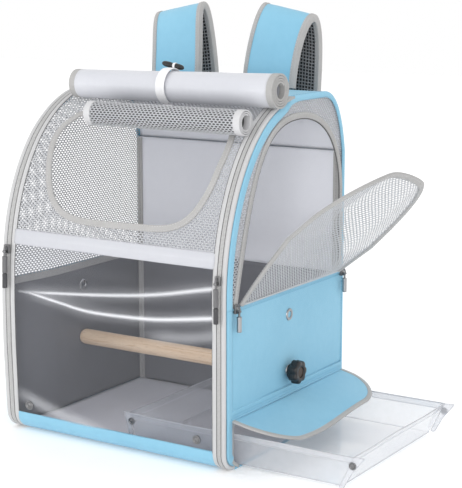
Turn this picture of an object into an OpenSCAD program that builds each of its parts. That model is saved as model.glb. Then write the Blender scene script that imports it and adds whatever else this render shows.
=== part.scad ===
/* [Body] */
// Width over the two side panels
body_w = 320; // [290:1:350]
// Depth from the front edge to the back panel
body_d = 280; // [265:1:300]
// Height of the flat top
body_h = 423; // [415:1:440]
// Radius of the bottom front edge
toe_r = 22; // [16:1:24]
// Radius of the bottom rear edge
heel_r = 12; // [8:1:16]
// Thickness of a cloth panel
cloth_t = 1.4; // [1:0.1:1.8]
// Thickness of the grey lining
lining_t = 1.2; // [0.8:0.1:1.4]
// Thickness of the stiffened floor
floor_t = 1.8; // [1.4:0.1:2.4]
// Thickness of the board inside the back
back_board_t = 6.6; // [4:0.1:8]
// Length of one leg of the grey trims in the rear corners
trim_w = 8; // [5:0.5:10]

/* [Arched outline] */
// Height at which the front starts to lean back
arch_start_h = 200; // [196:1:205]
// Depth at which the arch meets the flat top
arch_depth = 165; // [158:1:172]
// Pull of the arch curve at its foot
arch_foot_pull = 115; // [105:1:125]
// Pull of the arch curve at the top
arch_top_pull = 98; // [92:1:104]
// Length along the top of the rear corner
crown_depth = 55; // [48:1:60]
// Height of the rear corner
crown_drop = 78; // [70:1:84]

/* [Front panel] */
// Width of the white piping at the corners
hoop_w = 5; // [4:0.5:6]
// Width of each front zip
zip_w = 7; // [6:0.5:8]
// Width of the white edging inside the zip
edging_w = 5; // [4:0.5:6]
// Depth of the front panels behind the piping
set_in = 0.8; // [0.4:0.1:1]
// Height of the blue band below the window
band_h = 24; // [24:1:30]
// Height of the top of the clear window
window_top_h = 238; // [225:1:245]
// Thickness of the clear sheet
clear_t = 1; // [0.8:0.1:1.4]
// Height of the pale strip above the window
strip_h = 18; // [12:1:24]
// Thickness of the mesh cloth
mesh_t = 1.2; // [1:0.1:1.4]
// Depth at which the front panel ends on top
front_end_depth = 138; // [132:1:142]
// Distance of a window snap from the middle
window_snap_x = 123; // [110:1:128]
// Height of the window snaps
window_snap_h = 35; // [32:1:50]
// Diameter of a press snap
snap_d = 11.5; // [9:0.5:13]
// Height of a press snap's cap
snap_t = 1.6; // [1.2:0.1:2]

/* [Front opening] */
// Distance from the front edging to the opening in the mesh
opening_margin = 21; // [12:1:28]
// Height of the opening's lower edge over the white strip
opening_rise = 21; // [16:1:30]
// Length of the straight part of the lower edge
opening_flat = 116; // [90:1:140]
// How far the lower edge pulls the curve of the corner
opening_corner_pull = 39; // [30:1:48]
// How far the upright side pulls it
opening_side_pull = 56; // [40:1:66]
// Depth of the opening's upper edge
opening_top_depth = 62; // [56:1:66]
// Width of the binding round the opening
opening_binding_w = 6; // [4:0.5:7]

/* [Side walls] */
// Height of the seam between cloth and mesh
seam_h = 191; // [182:1:198]
// Width of the blue border along the arch
border_w = 11; // [8:1:14]
// Width of the blue border along the top and the back
border_rear_w = 5; // [4:0.5:8]
// Width of the grey binding round the door opening
door_binding_w = 7; // [5:0.5:8]
// Height of the grey strip below the left mesh
left_strip_h = 9; // [6:1:12]

/* [Side door] */
// Distance of the door's front corner from the front edge
door_front = 26; // [24:1:30]
// Distance of the door's rear edge from the back
door_rear = 12; // [11:1:14]
// Depth of the door's highest point
door_apex_depth = 165; // [155:1:175]
// Height of the door
door_h = 204; // [196:1:208]
// Gap between the door and its opening
door_gap = 1.2; // [0.8:0.1:2]
// Width of the door's own binding
leaf_binding_w = 8; // [6:0.5:10]
// Thickness of the door's binding
leaf_t = 2.4; // [1.8:0.1:2.6]
// Angle at which the door stands open
door_open = 46; // [20:1:80]
// Distance between net holes along a row
net_pitch = 12.4; // [11.5:0.1:16]
// Width of the net's threads
net_thread = 2.6; // [1.6:0.1:3.4]
// Diameter of a seam's piping at a hinge
seam_d = 2.4; // [2:0.1:2.6]

/* [Tray slot] */
// Distance of the slot from the front edge
slot_front = 15; // [12:1:24]
// Distance of the slot from the back
slot_rear = 6; // [5:0.5:8]
// Height of the slot's upper edge
slot_top_h = 58; // [52:1:60]
// Radius of the slot's lower front corner
slot_r = 16; // [10:1:20]
// Width of the binding round the slot
slot_binding_w = 4; // [3:0.5:5]

/* [Tray] */
// Length of the tray over its pinched corners
tray_l = 312; // [290:1:313]
// Width of the tray at its rim
tray_w = 241; // [225:1:242]
// Gap between the tray and the rear end of its slot
tray_rear_gap = 2.5; // [2.2:0.1:8]
// Height of the tray
tray_h = 38; // [30:1:42]
// Thickness of the tray's sheet
tray_t = 1; // [0.8:0.1:1.4]
// Slope of the tray's walls, from rim to floor
tray_slope = 7; // [3:1:9]
// Length of a pinched corner
tray_ear = 8; // [5:1:12]
// Distance that the tray is pulled out
tray_out = 153; // [100:1:180]
// Clearance between the tray and what it slides on or in
tray_gap = 0.3; // [0.2:0.1:0.6]

/* [Tray flap] */
// Height of the flap's hinge seam
flap_hinge_h = 61; // [60:0.5:64]
// Length of the flap
flap_l = 69; // [60:1:69]
// Thickness of the flap
flap_t = 2; // [1.6:0.1:2.2]
// Width of the flap's binding
flap_binding_w = 6; // [4:0.5:7]
// Radius of the flap's lower corners
flap_r = 58; // [40:1:60]
// Angle of the flap below level
flap_droop = 15; // [8:1:15]

/* [Perch] */
// Diameter of the perch
perch_d = 20; // [16:1:24]
// Distance of the perch from the front edge
perch_depth = 144; // [130:1:150]
// Height of the perch
perch_h = 90; // [87:1:100]
// Distance of the spare pair of holes below the side seam
spare_drop = 31; // [24:1:40]
// Diameter of the threaded stud
stud_d = 6; // [5:0.5:6.5]
// Depth to which a stud enters the perch
stud_reach = 20; // [12:1:30]
// Clearance round the stud in the perch
stud_gap = 0.3; // [0.2:0.05:0.5]
// Inner diameter of an eyelet
eyelet_bore = 8; // [7.5:0.5:9]
// Outer diameter of an eyelet
eyelet_d = 15; // [14:0.5:17]
// Thickness of an eyelet's rim
eyelet_t = 0.9; // [0.6:0.1:1.2]
// Diameter of the star knob
knob_d = 30; // [26:1:32]
// Number of lobes on the star knob
knob_lobes = 7; // [6:1:8]
// Depth of the knob over its hub
knob_l = 16; // [13:1:22]

/* [Rolled shade] */
// Outer radius of the rolled shade
shade_roll_r = 20; // [17:0.5:22]
// Thickness of the shade cloth
shade_t = 2.2; // [1.8:0.1:2.3]
// Turns in the rolled shade
shade_turns = 3.75; // [2.5:0.25:4]
// Depth at which the rolled shade rests
shade_rest_depth = 112; // [106:1:120]
// Distance from the left side to the end of the rolled shade
shade_gap_left = 24; // [5:1:30]
// Distance from the right side to the end of the rolled shade
shade_gap_right = 1; // [0:1:20]
// Gap between turns of a roll
roll_gap = 0.6; // [0.5:0.05:0.8]
// Width of the elastic tie
tie_w = 12; // [8:1:16]
// Distance of the tie to the right of the middle
tie_x = 11; // [-20:1:30]
// Thickness of the elastic tie
tie_t = 1.2; // [0.8:0.1:1.6]
// Length of the black toggle
toggle_l = 32; // [24:1:36]

/* [Rolled mesh flap] */
// Outer radius of the rolled mesh flap
mesh_roll_r = 16; // [12:0.5:18]
// Thickness of the mesh flap
flap_mesh_t = 1.8; // [1.4:0.1:2]
// Turns in the rolled mesh flap
mesh_turns = 2.75; // [2:0.25:3]
// Depth at which the rolled mesh rests
mesh_rest_depth = 71; // [66:1:78]
// Distance from the left side to the end of the rolled mesh
mesh_gap_left = 74; // [40:1:80]
// Distance from the right side to the end of the rolled mesh
mesh_gap_right = 20; // [5:1:30]

/* [Straps] */
// Width of a shoulder strap
strap_w = 75; // [60:1:80]
// Distance of a strap's middle from the middle of the back
strap_x = 71; // [60:1:78]
// Thickness of the strap's cloth and foam
strap_t = 5; // [3:0.5:6]
// Thickness of the strap's mesh lining
strap_lining_t = 3; // [2:0.5:4]
// Height of the strap's loop above the top
strap_rise = 98; // [80:1:110]
// Distance of the strap's root from the back
strap_root = 44; // [38:1:50]
// Distance of the hanging strap behind the back
strap_off = 18; // [17:1:24]
// Angle by which a strap leans outwards at its top
strap_lean = 11; // [6:1:14]
// Distance by which its top stands further out than its root
strap_sway = 12; // [4:1:20]
// Height of the padded strap's lower end
strap_end_h = 185; // [170:1:220]
// Width of the webbing
webbing_w = 25; // [20:1:30]
// Thickness of the webbing
webbing_t = 1.6; // [1.2:0.1:2]
// Distance of a lower anchor from the middle
anchor_x = 112; // [100:1:125]
// Height of the lower anchors
anchor_h = 42; // [35:1:60]
// Length of the locks that adjust the webbing
lock_l = 36; // [28:1:42]
// Thickness of a lock
lock_t = 6; // [4:0.5:7]
// Height of a bar or slot in a lock
lock_bar = 6; // [4:0.5:8]
// Length of a lower anchor
anchor_l = 34; // [26:1:42]
// Thickness of a lower anchor
anchor_t = 3; // [2:0.5:4]
// Thickness of the cushion on the back
cushion_t = 7; // [4:0.5:8]
// Width of the cushion on the back
cushion_w = 236; // [200:1:250]

/* [Carry handle] */
// Length of the handle
handle_l = 130; // [110:1:150]
// Depth at which the handle is sewn on
handle_depth = 172; // [168:1:176]
// Distance the handle lies back from its hinge
handle_reach = 38; // [30:1:42]
// Width of the handle's webbing
handle_w = 20; // [16:1:22]
// Length of the webbing that holds the handle
handle_root = 16; // [12:1:20]
// Thickness of the handle
handle_t = 4; // [3:0.5:5]

/* [Zip pulls] */
// Height of the left front slider
slider_left_h = 231; // [222:1:232]
// Height of the right front slider
slider_right_h = 226; // [218:1:232]
// Length of a slider
slider_l = 11; // [9:0.5:13]
// Clearance of a slider in the width of its zip
slider_gap = 0.2; // [0.1:0.05:0.5]
// Thickness of a slider
slider_t = 3.4; // [2.6:0.1:4]
// Length of a pull
pull_l = 46; // [30:1:50]
// Length of a pull on the side door
door_pull_l = 24; // [18:1:30]
// Width of a pull
pull_w = 6; // [4:0.5:7]
// Thickness of a pull
pull_t = 2; // [1.6:0.1:2.4]

/* [Hidden] */
$fn = 48;
overlap = 0.01;

cloth_blue = [0.58, 0.79, 0.88];
cloth_white = [0.93, 0.94, 0.95];
lining_grey = [0.72, 0.73, 0.75];
binding_grey = [0.78, 0.76, 0.76];
metal_dark = [0.35, 0.35, 0.37];
plastic_black = [0.09, 0.09, 0.09];
clear_sheet = [0.85, 0.89, 0.93, 0.35];

half_w = body_w / 2;
half_d = body_d / 2;
zip_x = half_w - hoop_w;
edging_x = zip_x - zip_w;
window_x = edging_x - edging_w;
opening_half = window_x - opening_margin;
opening_bottom_h = window_top_h + strip_h + opening_rise;
slider_w = zip_w - 2 * slider_gap;
spare_h = seam_h - spare_drop;
floor_top = floor_t + lining_t - 0.2;
crown_end_h = body_h - crown_drop;
crown_start = body_d - crown_depth;
side_in = half_w - cloth_t;
lining_in = side_in - lining_t;
back_board_in = cloth_t + back_board_t;
back_lining_in = back_board_in + lining_t;
trim_t = 1.4;

// Cubic curves by their four control points
arch = [[0, arch_start_h], [0, arch_start_h + arch_foot_pull],
        [arch_depth - arch_top_pull, body_h], [arch_depth, body_h]];
crown = [[crown_start, body_h], [crown_start + 0.55 * crown_depth, body_h],
         [body_d - 0.15 * crown_depth, crown_end_h + 0.64 * crown_drop], [body_d, crown_end_h]];

function cubic(p, t) =
  pow(1 - t, 3) * p[0] + 3 * t * pow(1 - t, 2) * p[1] + 3 * t * t * (1 - t) * p[2] + pow(t, 3) * p[3];
function cubic_slope(p, t) =
  pow(1 - t, 2) * (p[1] - p[0]) + 2 * t * (1 - t) * (p[2] - p[1]) + t * t * (p[3] - p[2]);
function sideways(d) = [d[1], -d[0]] / norm(d);
function backwards(list) = [for (i = [len(list) - 1 : -1 : 0]) list[i]];

// The outline of the side as [depth, height], run once round: u from 0 to 8 goes along the toe,
// the front, the arch, the flat top, the rear corner, the back, the heel and the floor.
function outline_point(u) =
  u < 1 ? [toe_r - toe_r * sin(90 * u), toe_r - toe_r * cos(90 * u)]
  : u < 2 ? [0, toe_r + (u - 1) * (arch_start_h - toe_r)]
  : u < 3 ? cubic(arch, u - 2)
  : u < 4 ? [arch_depth + (u - 3) * (crown_start - arch_depth), body_h]
  : u < 5 ? cubic(crown, u - 4)
  : u < 6 ? [body_d, crown_end_h - (u - 5) * (crown_end_h - heel_r)]
  : u < 7 ? [body_d - heel_r + heel_r * cos(90 * (u - 6)), heel_r - heel_r * sin(90 * (u - 6))]
  : [body_d - heel_r - (u - 7) * (body_d - heel_r - toe_r), 0];
function outline_slope(u) =
  u < 1 ? [-cos(90 * u), sin(90 * u)]
  : u < 2 ? [0, 1]
  : u < 3 ? cubic_slope(arch, u - 2)
  : u < 4 ? [1, 0]
  : u < 5 ? cubic_slope(crown, u - 4)
  : u < 6 ? [0, -1]
  : u < 7 ? [-sin(90 * (u - 6)), -cos(90 * (u - 6))]
  : [-1, 0];
function rim(u, inset = 0) =
  outline_point(u) + inset * sideways(outline_slope(u)) - [half_d, 0];

toe_steps = 6;
arch_steps = 22;
crown_steps = 10;
grid = concat(
  [for (i = [0 : toe_steps - 1]) i / toe_steps], [1],
  [for (i = [0 : arch_steps - 1]) 2 + i / arch_steps], [3],
  [for (i = [0 : crown_steps - 1]) 4 + i / crown_steps], [5],
  [for (i = [0 : toe_steps - 1]) 6 + i / toe_steps], [7]);
function stations(a, b) =
  concat([a], [for (u = grid) if (u > a + 0.002 && u < b - 0.002) u], [b]);

// The place on the arch at a given height or depth, found by halving
function arch_at_height(z, lo = 2, hi = 3, n = 24) =
  n == 0 ? (lo + hi) / 2
  : outline_point((lo + hi) / 2)[1] < z ? arch_at_height(z, (lo + hi) / 2, hi, n - 1)
  : arch_at_height(z, lo, (lo + hi) / 2, n - 1);
function arch_at_depth(y, lo = 2, hi = 3, n = 24) =
  n == 0 ? (lo + hi) / 2
  : outline_point((lo + hi) / 2)[0] < y ? arch_at_depth(y, (lo + hi) / 2, hi, n - 1)
  : arch_at_depth(y, lo, (lo + hi) / 2, n - 1);

band_end = 1 + (band_h - toe_r) / (arch_start_h - toe_r);
window_end = arch_at_height(window_top_h);
strip_end = arch_at_height(window_top_h + strip_h);
front_end = arch_at_depth(front_end_depth);

// Draws its 2D children, given as [y, z], from x0 to x1
module across(x0, x1) {
  translate([x0, 0, 0])
    rotate([90, 0, 90])
      linear_extrude(x1 - x0)
        children();
}
module band_2d(a, b, inset0, inset1) {
  polygon(concat(
    [for (u = stations(a, b)) rim(u, inset0)],
    backwards([for (u = stations(a, b)) rim(u, inset1)])));
}
module band(a, b, inset0, inset1, x0, x1) {
  across(x0, x1) band_2d(a, b, inset0, inset1);
}
module outline_2d(inset) {
  polygon([for (u = stations(0, 8)) rim(u, inset)]);
}
module above(z) {
  translate([-body_d, z]) square([2 * body_d, body_h]);
}
module both_sides() {
  children();
  mirror([1, 0, 0]) children();
}
module lying(x0, x1, d) {
  translate([x0, 0, 0]) rotate([0, 90, 0]) cylinder(d = d, h = x1 - x0);
}

// Floor
module floor_panel() {
  color(cloth_blue)
    translate([-half_w, toe_r - half_d, 0]) cube([body_w, body_d - toe_r - heel_r, floor_t]);
}
module floor_liner() {
  color(lining_grey)
    translate([-lining_in, toe_r - half_d, floor_t])
      cube([2 * lining_in, body_d - toe_r - back_lining_in, floor_top - floor_t]);
}

// Front panel, from the toe up to the shade
module front_band() {
  color(cloth_blue) band(0, band_end, set_in, set_in + cloth_t, -window_x, window_x);
}
module front_window() {
  color(clear_sheet)
    band(band_end, window_end, set_in, set_in + clear_t, -window_x, window_x);
}
module window_strip() {
  color(cloth_white)
    band(window_end, strip_end, set_in, set_in + cloth_t, -window_x, window_x);
}
// The opening seen from the front as [x, z], grown by w: a straight lower edge, then one curve
// round each corner and up the side
opening_top_h = outline_point(arch_at_depth(opening_top_depth))[1];
opening_side = [
  [opening_flat / 2, opening_bottom_h],
  [opening_flat / 2 + opening_corner_pull, opening_bottom_h],
  [opening_half, opening_top_h - opening_side_pull],
  [opening_half, opening_top_h],
];
opening_steps = 14;
function opening_outline(w) = concat(
  [for (i = [0 : opening_steps])
    let (t = i / opening_steps)
      cubic(opening_side, t) + w * sideways(cubic_slope(opening_side, t))],
  [[opening_half + w, opening_top_h + w]]);
module opening_2d(w) {
  right = opening_outline(w);
  polygon(concat(right, [for (p = backwards(right)) [-p[0], p[1]]]));
}
module through_front(w) {
  translate([0, -half_d + arch_depth, 0])
    rotate([90, 0, 0])
      linear_extrude(2 * arch_depth)
        opening_2d(w);
}
module front_mesh() {
  color(cloth_white)
    difference() {
      band(strip_end, front_end, set_in, set_in + mesh_t, -window_x, window_x);
      through_front(opening_binding_w);
    }
}
module front_opening_binding() {
  color(binding_grey)
    intersection() {
      band(strip_end, front_end, set_in - 0.3, set_in + mesh_t + 0.3, -window_x, window_x);
      difference() {
        through_front(opening_binding_w);
        through_front(0);
      }
    }
}

// The piping: a section that is round on its outer corner, as [x, inset], carried along the rim
hoop_arc = 4;
function hoop_section(sign) =
  let (pts = concat(
    [[half_w - hoop_w, hoop_w], [half_w - hoop_w, 0]],
    [for (i = [0 : hoop_arc])
      let (a = 90 * i / hoop_arc, r = 0.8 * hoop_w)
        [half_w - r + r * sin(a), r - r * cos(a)]],
    [[half_w, hoop_w]]))
  sign > 0 ? pts : backwards([for (p = pts) [-p[0], p[1]]]);
module hoop(sign) {
  section = hoop_section(sign);
  rings = stations(0, front_end);
  n = len(section);
  m = len(rings);
  points = [for (u = rings) for (s = section) let (p = rim(u, s[1])) [s[0], p[0], p[1]]];
  walls = [for (j = [0 : m - 2]) for (i = [0 : n - 1])
    let (k = (i + 1) % n, a = j * n + i, b = j * n + k, c = (j + 1) * n + k, d = (j + 1) * n + i)
      each [[a, b, c], [a, c, d]]];
  color(cloth_white)
    polyhedron(points, concat(walls, [backwards([for (i = [0 : n - 1]) i])],
      [[for (i = [0 : n - 1]) (m - 1) * n + i]]), convexity = 8);
}
module hoop_left() {
  hoop(-1);
}
module hoop_right() {
  hoop(1);
}
module front_zips() {
  color(metal_dark)
    both_sides() band(0, front_end, set_in, set_in + cloth_t, edging_x, zip_x);
}
module front_edging() {
  color(cloth_white)
    both_sides() band(0, front_end, set_in - 0.5, set_in + cloth_t, window_x, edging_x);
}
module window_snaps() {
  color(metal_dark)
    for (x = [-window_snap_x, window_snap_x])
      translate([x, set_in - half_d - snap_t, window_snap_h])
        rotate([-90, 0, 0])
          difference() {
            cylinder(d = snap_d, h = snap_t);
            translate([0, 0, -overlap]) cylinder(d = snap_d / 2, h = snap_t / 2);
          }
}

// Side walls. Their outline stands inside the piping in front and inside the panels behind.
module wall_2d(inset = 0) {
  polygon(concat(
    [for (u = stations(0, front_end)) rim(u, hoop_w + inset)],
    [for (u = stations(front_end, 7)) rim(u, cloth_t + inset)],
    [rim(7, floor_t + inset), rim(8, floor_t + inset)]));
}
module knob_holes() {
  for (h = [perch_h, spare_h])
    translate([0, perch_depth - half_d, h])
      lying(-body_w, body_w, eyelet_bore + 2 * eyelet_t);
}
slot_y0 = slot_front - half_d;
slot_y1 = half_d - slot_rear;
function corner(y, z, r, a0) =
  [for (i = [0 : 6]) let (a = a0 + 15 * i) [y + r * cos(a), z + r * sin(a)]];
slot_foot_h = hoop_w + 1;
module slot_2d(w, low) {
  r = slot_r - w;
  polygon(concat(
    corner(slot_y0 + slot_r, floor_t + slot_r, r, 180),
    [[slot_y0 + slot_r, low], [slot_y1 - w, low], [slot_y1 - w, slot_top_h - w],
     [slot_y0 + w, slot_top_h - w]]));
}
// The slot, with the floor below its rounded corner, which the binding fills
module slot_cut_2d(low) {
  slot_2d(0, low);
  translate([toe_r - half_d, low]) square([slot_front + slot_r - toe_r, slot_foot_h - low]);
}
module side_panel_right() {
  color(cloth_blue)
    difference() {
      across(side_in, half_w)
        difference() {
          wall_2d();
          above(seam_h - seam_d);
          slot_cut_2d(0);
        }
      knob_holes();
    }
}
module side_panel_left() {
  color(cloth_blue)
    difference() {
      across(-half_w, -side_in)
        difference() {
          wall_2d();
          above(seam_h);
        }
      knob_holes();
    }
}
module side_liners() {
  color(lining_grey)
    difference() {
      for (x = [-side_in, lining_in])
        across(x, x + lining_t)
          difference() {
            intersection() {
              wall_2d();
              translate([-half_d + hoop_w, floor_t])
                square([body_d - hoop_w - back_lining_in, body_h]);
            }
            above(seam_h - (x > 0 ? seam_d : 0));
            if (x > 0) slot_cut_2d(0);
          }
      knob_holes();
    }
}

// The door's outline as [depth, height over the seam]: u from 0 to 3 goes up the front curve,
// down the rear curve and down the straight rear edge.
door_y0 = door_front;
door_y1 = body_d - door_rear;
door_curves = [
  [[door_y0, 0], [door_y0 + 36, 0.7 * door_h], [arch_depth - 84, door_h],
   [door_apex_depth, door_h]],
  [[door_apex_depth, door_h], [door_apex_depth + 66, door_h], [door_y1, 0.8 * door_h],
   [door_y1, 0.48 * door_h]],
];
function door_point(u) =
  u < 1 ? cubic(door_curves[0], u)
  : u < 2 ? cubic(door_curves[1], u - 1)
  : [door_y1, 0.48 * door_h * (3 - u)];
function door_slope(u) =
  u < 1 ? cubic_slope(door_curves[0], u)
  : u < 2 ? cubic_slope(door_curves[1], u - 1)
  : [0, -1];
function door_rim(u, inset) = door_point(u) + inset * sideways(door_slope(u)) - [half_d, 0];
door_steps = 14;
function door_outline(inset) = concat(
  [door_rim(0, inset) - 40 * door_slope(0) / norm(door_slope(0))],
  [for (i = [0 : 2 * door_steps]) door_rim(i / door_steps, inset)],
  [door_rim(3, inset) - [0, 40]]);
// The door's shape, from a height over the seam upwards
module door_2d(inset, low) {
  intersection() {
    polygon(door_outline(inset));
    above(low);
  }
}
// The wall inside its border, which is wider along the arch than along the top and the back
module inside_border_2d() {
  shift = border_w - border_rear_w;
  intersection() {
    wall_2d(border_rear_w);
    hull() {
      wall_2d(border_w);
      translate([shift, shift]) wall_2d(border_w);
    }
  }
}
module side_borders() {
  color(cloth_blue)
    for (x = [-half_w, side_in])
      across(x, x + cloth_t)
        difference() {
          wall_2d();
          inside_border_2d();
          mirror([0, 1]) above(-seam_h);
          if (x > 0) translate([0, seam_h]) door_2d(-door_binding_w, 0);
        }
}
module side_mesh_right() {
  color(cloth_white)
    across(half_w - mesh_t, half_w)
      difference() {
        inside_border_2d();
        mirror([0, 1]) above(-seam_h);
        translate([0, seam_h]) door_2d(-door_binding_w, 0);
      }
}
module side_mesh_left() {
  color(cloth_white)
    across(-half_w, mesh_t - half_w)
      intersection() {
        inside_border_2d();
        above(seam_h);
      }
}
module door_opening_binding() {
  color(binding_grey)
    across(side_in - 0.2, half_w + 0.2)
      translate([0, seam_h])
        difference() {
          door_2d(-door_binding_w, 0);
          door_2d(0, -1);
        }
}
module left_strip() {
  color(binding_grey)
    across(-lining_in, 1.2 - lining_in)
      translate([border_w - half_d, seam_h - left_strip_h])
        square([body_d - border_w - back_lining_in - trim_t, left_strip_h]);
}
module slot_binding() {
  color(binding_grey)
    across(lining_in, half_w + 0.2)
      intersection() {
        wall_2d();
        difference() {
          slot_cut_2d(floor_t);
          slot_2d(slot_binding_w, 0);
        }
      }
}

// Back and top
module back_panel() {
  color(cloth_blue) band(5, 7, 0, cloth_t, -half_w, half_w);
}
module back_board() {
  color(lining_grey)
    translate([-lining_in, half_d - back_board_in, heel_r])
      cube([2 * lining_in, back_board_t, crown_end_h - heel_r]);
}
module back_liner() {
  color(lining_grey)
    translate([-lining_in, half_d - back_lining_in, floor_top])
      cube([2 * lining_in, lining_t, crown_end_h - floor_top]);
}
cushion_low = 92;
cushion_r = 30;
module back_cushion() {
  color(plastic_black)
    translate([0, half_d + cushion_t, 0])
      rotate([90, 0, 0])
        linear_extrude(cushion_t) {
          for (x = [-1, 1], z = [cushion_low + cushion_r, crown_end_h - cushion_r])
            translate([x * (cushion_w / 2 - cushion_r), z]) circle(cushion_r);
          translate([cushion_r - cushion_w / 2, cushion_low])
            square([cushion_w - 2 * cushion_r, crown_end_h - cushion_low]);
          translate([-cushion_w / 2, cushion_low + cushion_r])
            square([cushion_w, crown_end_h - cushion_low - 2 * cushion_r]);
        }
}
module top_panel() {
  color(cloth_blue) band(front_end, 5, 0, cloth_t, -half_w, half_w);
}
module corner_trims() {
  color(binding_grey)
    both_sides()
      translate([lining_in - trim_w, half_d - back_lining_in - trim_t, floor_top])
        cube([trim_w, trim_t, crown_end_h - floor_top]);
}

// Perch, its eyelets and its star knobs
module eyelet() {
  bore_r = eyelet_bore / 2;
  rotate([0, 90, 0])
    rotate_extrude()
      polygon([[bore_r, lining_in - eyelet_t], [eyelet_d / 2, lining_in - eyelet_t],
               [eyelet_d / 2, lining_in], [bore_r + eyelet_t, lining_in],
               [bore_r + eyelet_t, half_w], [eyelet_d / 2, half_w],
               [eyelet_d / 2, half_w + eyelet_t], [bore_r, half_w + eyelet_t]]);
}
module perch_eyelets() {
  color(metal_dark)
    for (h = [perch_h, spare_h])
      translate([0, perch_depth - half_d, h]) both_sides() eyelet();
}
perch_end = lining_in - eyelet_t - 0.3;
module perch() {
  color([0.88, 0.72, 0.55])
    translate([0, perch_depth - half_d, perch_h])
      difference() {
        lying(-perch_end, perch_end, perch_d);
        both_sides() lying(perch_end - stud_reach - 2, half_w, stud_d + 2 * stud_gap);
      }
}
knob_x0 = half_w + eyelet_t + 0.3;
hub_l = 5;
knob_socket = hub_l + 8;
knob_recess = 1;
module knob() {
  translate([knob_x0, perch_depth - half_d, perch_h])
    rotate([0, 90, 0])
      difference() {
        union() {
          cylinder(d = 0.6 * knob_d, h = hub_l);
          translate([0, 0, hub_l])
            linear_extrude(knob_l - hub_l)
              difference() {
                circle(d = knob_d);
                for (i = [0 : knob_lobes - 1])
                  rotate(360 * (i + 0.5) / knob_lobes)
                    translate([0.575 * knob_d, 0]) circle(d = 0.29 * knob_d);
              }
        }
        translate([0, 0, -overlap]) cylinder(d = stud_d, h = knob_socket);
        translate([0, 0, knob_l - knob_recess]) cylinder(d = 0.46 * knob_d, h = 2 * knob_recess);
      }
}
module stud() {
  translate([0, perch_depth - half_d, perch_h])
    lying(perch_end - stud_reach, knob_x0 + knob_socket - overlap, stud_d);
}
module knob_right() {
  color(plastic_black) knob();
}
module knob_left() {
  color(plastic_black) mirror([1, 0, 0]) knob();
}
module stud_right() {
  color(metal_dark) stud();
}
module stud_left() {
  color(metal_dark) mirror([1, 0, 0]) stud();
}

// Rolls: a spiral sheet that ends just past the angle at which it touches the arch at u
function touch_angle(u) = let (n = sideways(outline_slope(u))) atan2(n[1], n[0]);
function spiral(r_out, t, turns, u) =
  let (pitch = t + roll_gap, r0 = r_out - t - pitch * turns, n = ceil(20 * turns),
       start = touch_angle(u) + 15 - 360 * turns)
  concat(
    [for (i = [0 : n]) let (f = turns * i / n, r = r0 + pitch * f, a = start + 360 * f)
      r * [cos(a), sin(a)]],
    backwards([for (i = [0 : n]) let (f = turns * i / n, r = r0 + pitch * f + t, a = start + 360 * f)
      r * [cos(a), sin(a)]]));
// The middle of a roll that rests at u on cloth that lies at an inset from the outline
function roll_at(u, r, inset) = rim(u, inset - r - tray_gap);
shade_u = arch_at_depth(shade_rest_depth);
mesh_u = arch_at_depth(mesh_rest_depth);
shade_at = roll_at(shade_u, shade_roll_r, 0);
mesh_at = roll_at(mesh_u, mesh_roll_r, set_in);
echo(shade_inner_r = shade_roll_r - shade_t - (shade_t + roll_gap) * shade_turns);
echo(mesh_inner_r = mesh_roll_r - flap_mesh_t - (flap_mesh_t + roll_gap) * mesh_turns);
echo(least_gap_between_turns = roll_gap * cos(180 / 20));
module shade_roll() {
  color(cloth_white)
    across(shade_gap_left - half_w, half_w - shade_gap_right)
      translate(shade_at) polygon(spiral(shade_roll_r, shade_t, shade_turns, shade_u));
}
module mesh_roll() {
  color(cloth_white)
    across(mesh_gap_left - half_w, half_w - mesh_gap_right)
      translate(mesh_at) polygon(spiral(mesh_roll_r, flap_mesh_t, mesh_turns, mesh_u));
}
module roll_tie() {
  color(cloth_white)
    across(tie_x - tie_w / 2, tie_x + tie_w / 2)
      difference() {
        translate(shade_at) circle(shade_roll_r + tray_gap + tie_t);
        translate(shade_at) circle(shade_roll_r + tray_gap / 3);
        outline_2d(0);
      }
}
toggle_angle = 52;
toggle_h = 6;
module roll_toggle() {
  color(plastic_black)
    translate([tie_x, shade_at[0], shade_at[1]])
      rotate([toggle_angle, 0, 0])
        translate([-toggle_l / 2, shade_roll_r + tray_gap + tie_t, -toggle_h / 2])
          cube([toggle_l, toggle_h - 1, toggle_h]);
}

// Shoulder straps: a path of cubic curves as [depth, height], from the root on the top, over the
// loop and down behind the back
strap_top = body_h + strap_rise;
strap_back = body_d + strap_off;
strap_path = [
  [[body_d - strap_root, body_h + 1], [body_d - strap_root + 8, body_h + 0.55 * strap_rise],
   [body_d - 28, strap_top], [body_d - 9, strap_top]],
  [[body_d - 9, strap_top], [strap_back - 8, strap_top],
   [strap_back - 2, body_h + 0.6 * strap_rise], [strap_back, body_h]],
  [[strap_back, body_h], [strap_back + 3, body_h - 70], [strap_back + 18, body_h - 110],
   [strap_back + 20, strap_end_h + 70]],
  [[strap_back + 20, strap_end_h + 70], [strap_back + 21, strap_end_h + 50],
   [strap_back + 14, strap_end_h + 24], [strap_back + 14, strap_end_h]],
];
strap_steps = 9;
function strap_point(u, inset) =
  let (i = min(floor(u), len(strap_path) - 1), f = u - i, p = strap_path[i])
  cubic(p, f) + inset * sideways(cubic_slope(p, f)) - [half_d, 0];
// How much of the lean a strap has at u: none at its root, all at the top, none low on the back
function ease(t) = let (c = min(1, max(0, t))) c * c * (3 - 2 * c);
function strap_lean_at(u) = u < 1 ? ease(u) : 1 - ease((u - 1.3) / 1.5);
// A corner of the strap's section: edge is -1 inside and 1 outside, and the inner edge is the higher
function strap_corner(sign, u, edge, inset) =
  let (f = strap_lean_at(u), a = strap_lean * f, p = strap_point(u, inset))
  [sign * (strap_x + strap_sway * f + edge * strap_w / 2 * cos(a)), p[0],
   p[1] - edge * strap_w / 2 * sin(a)];
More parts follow.
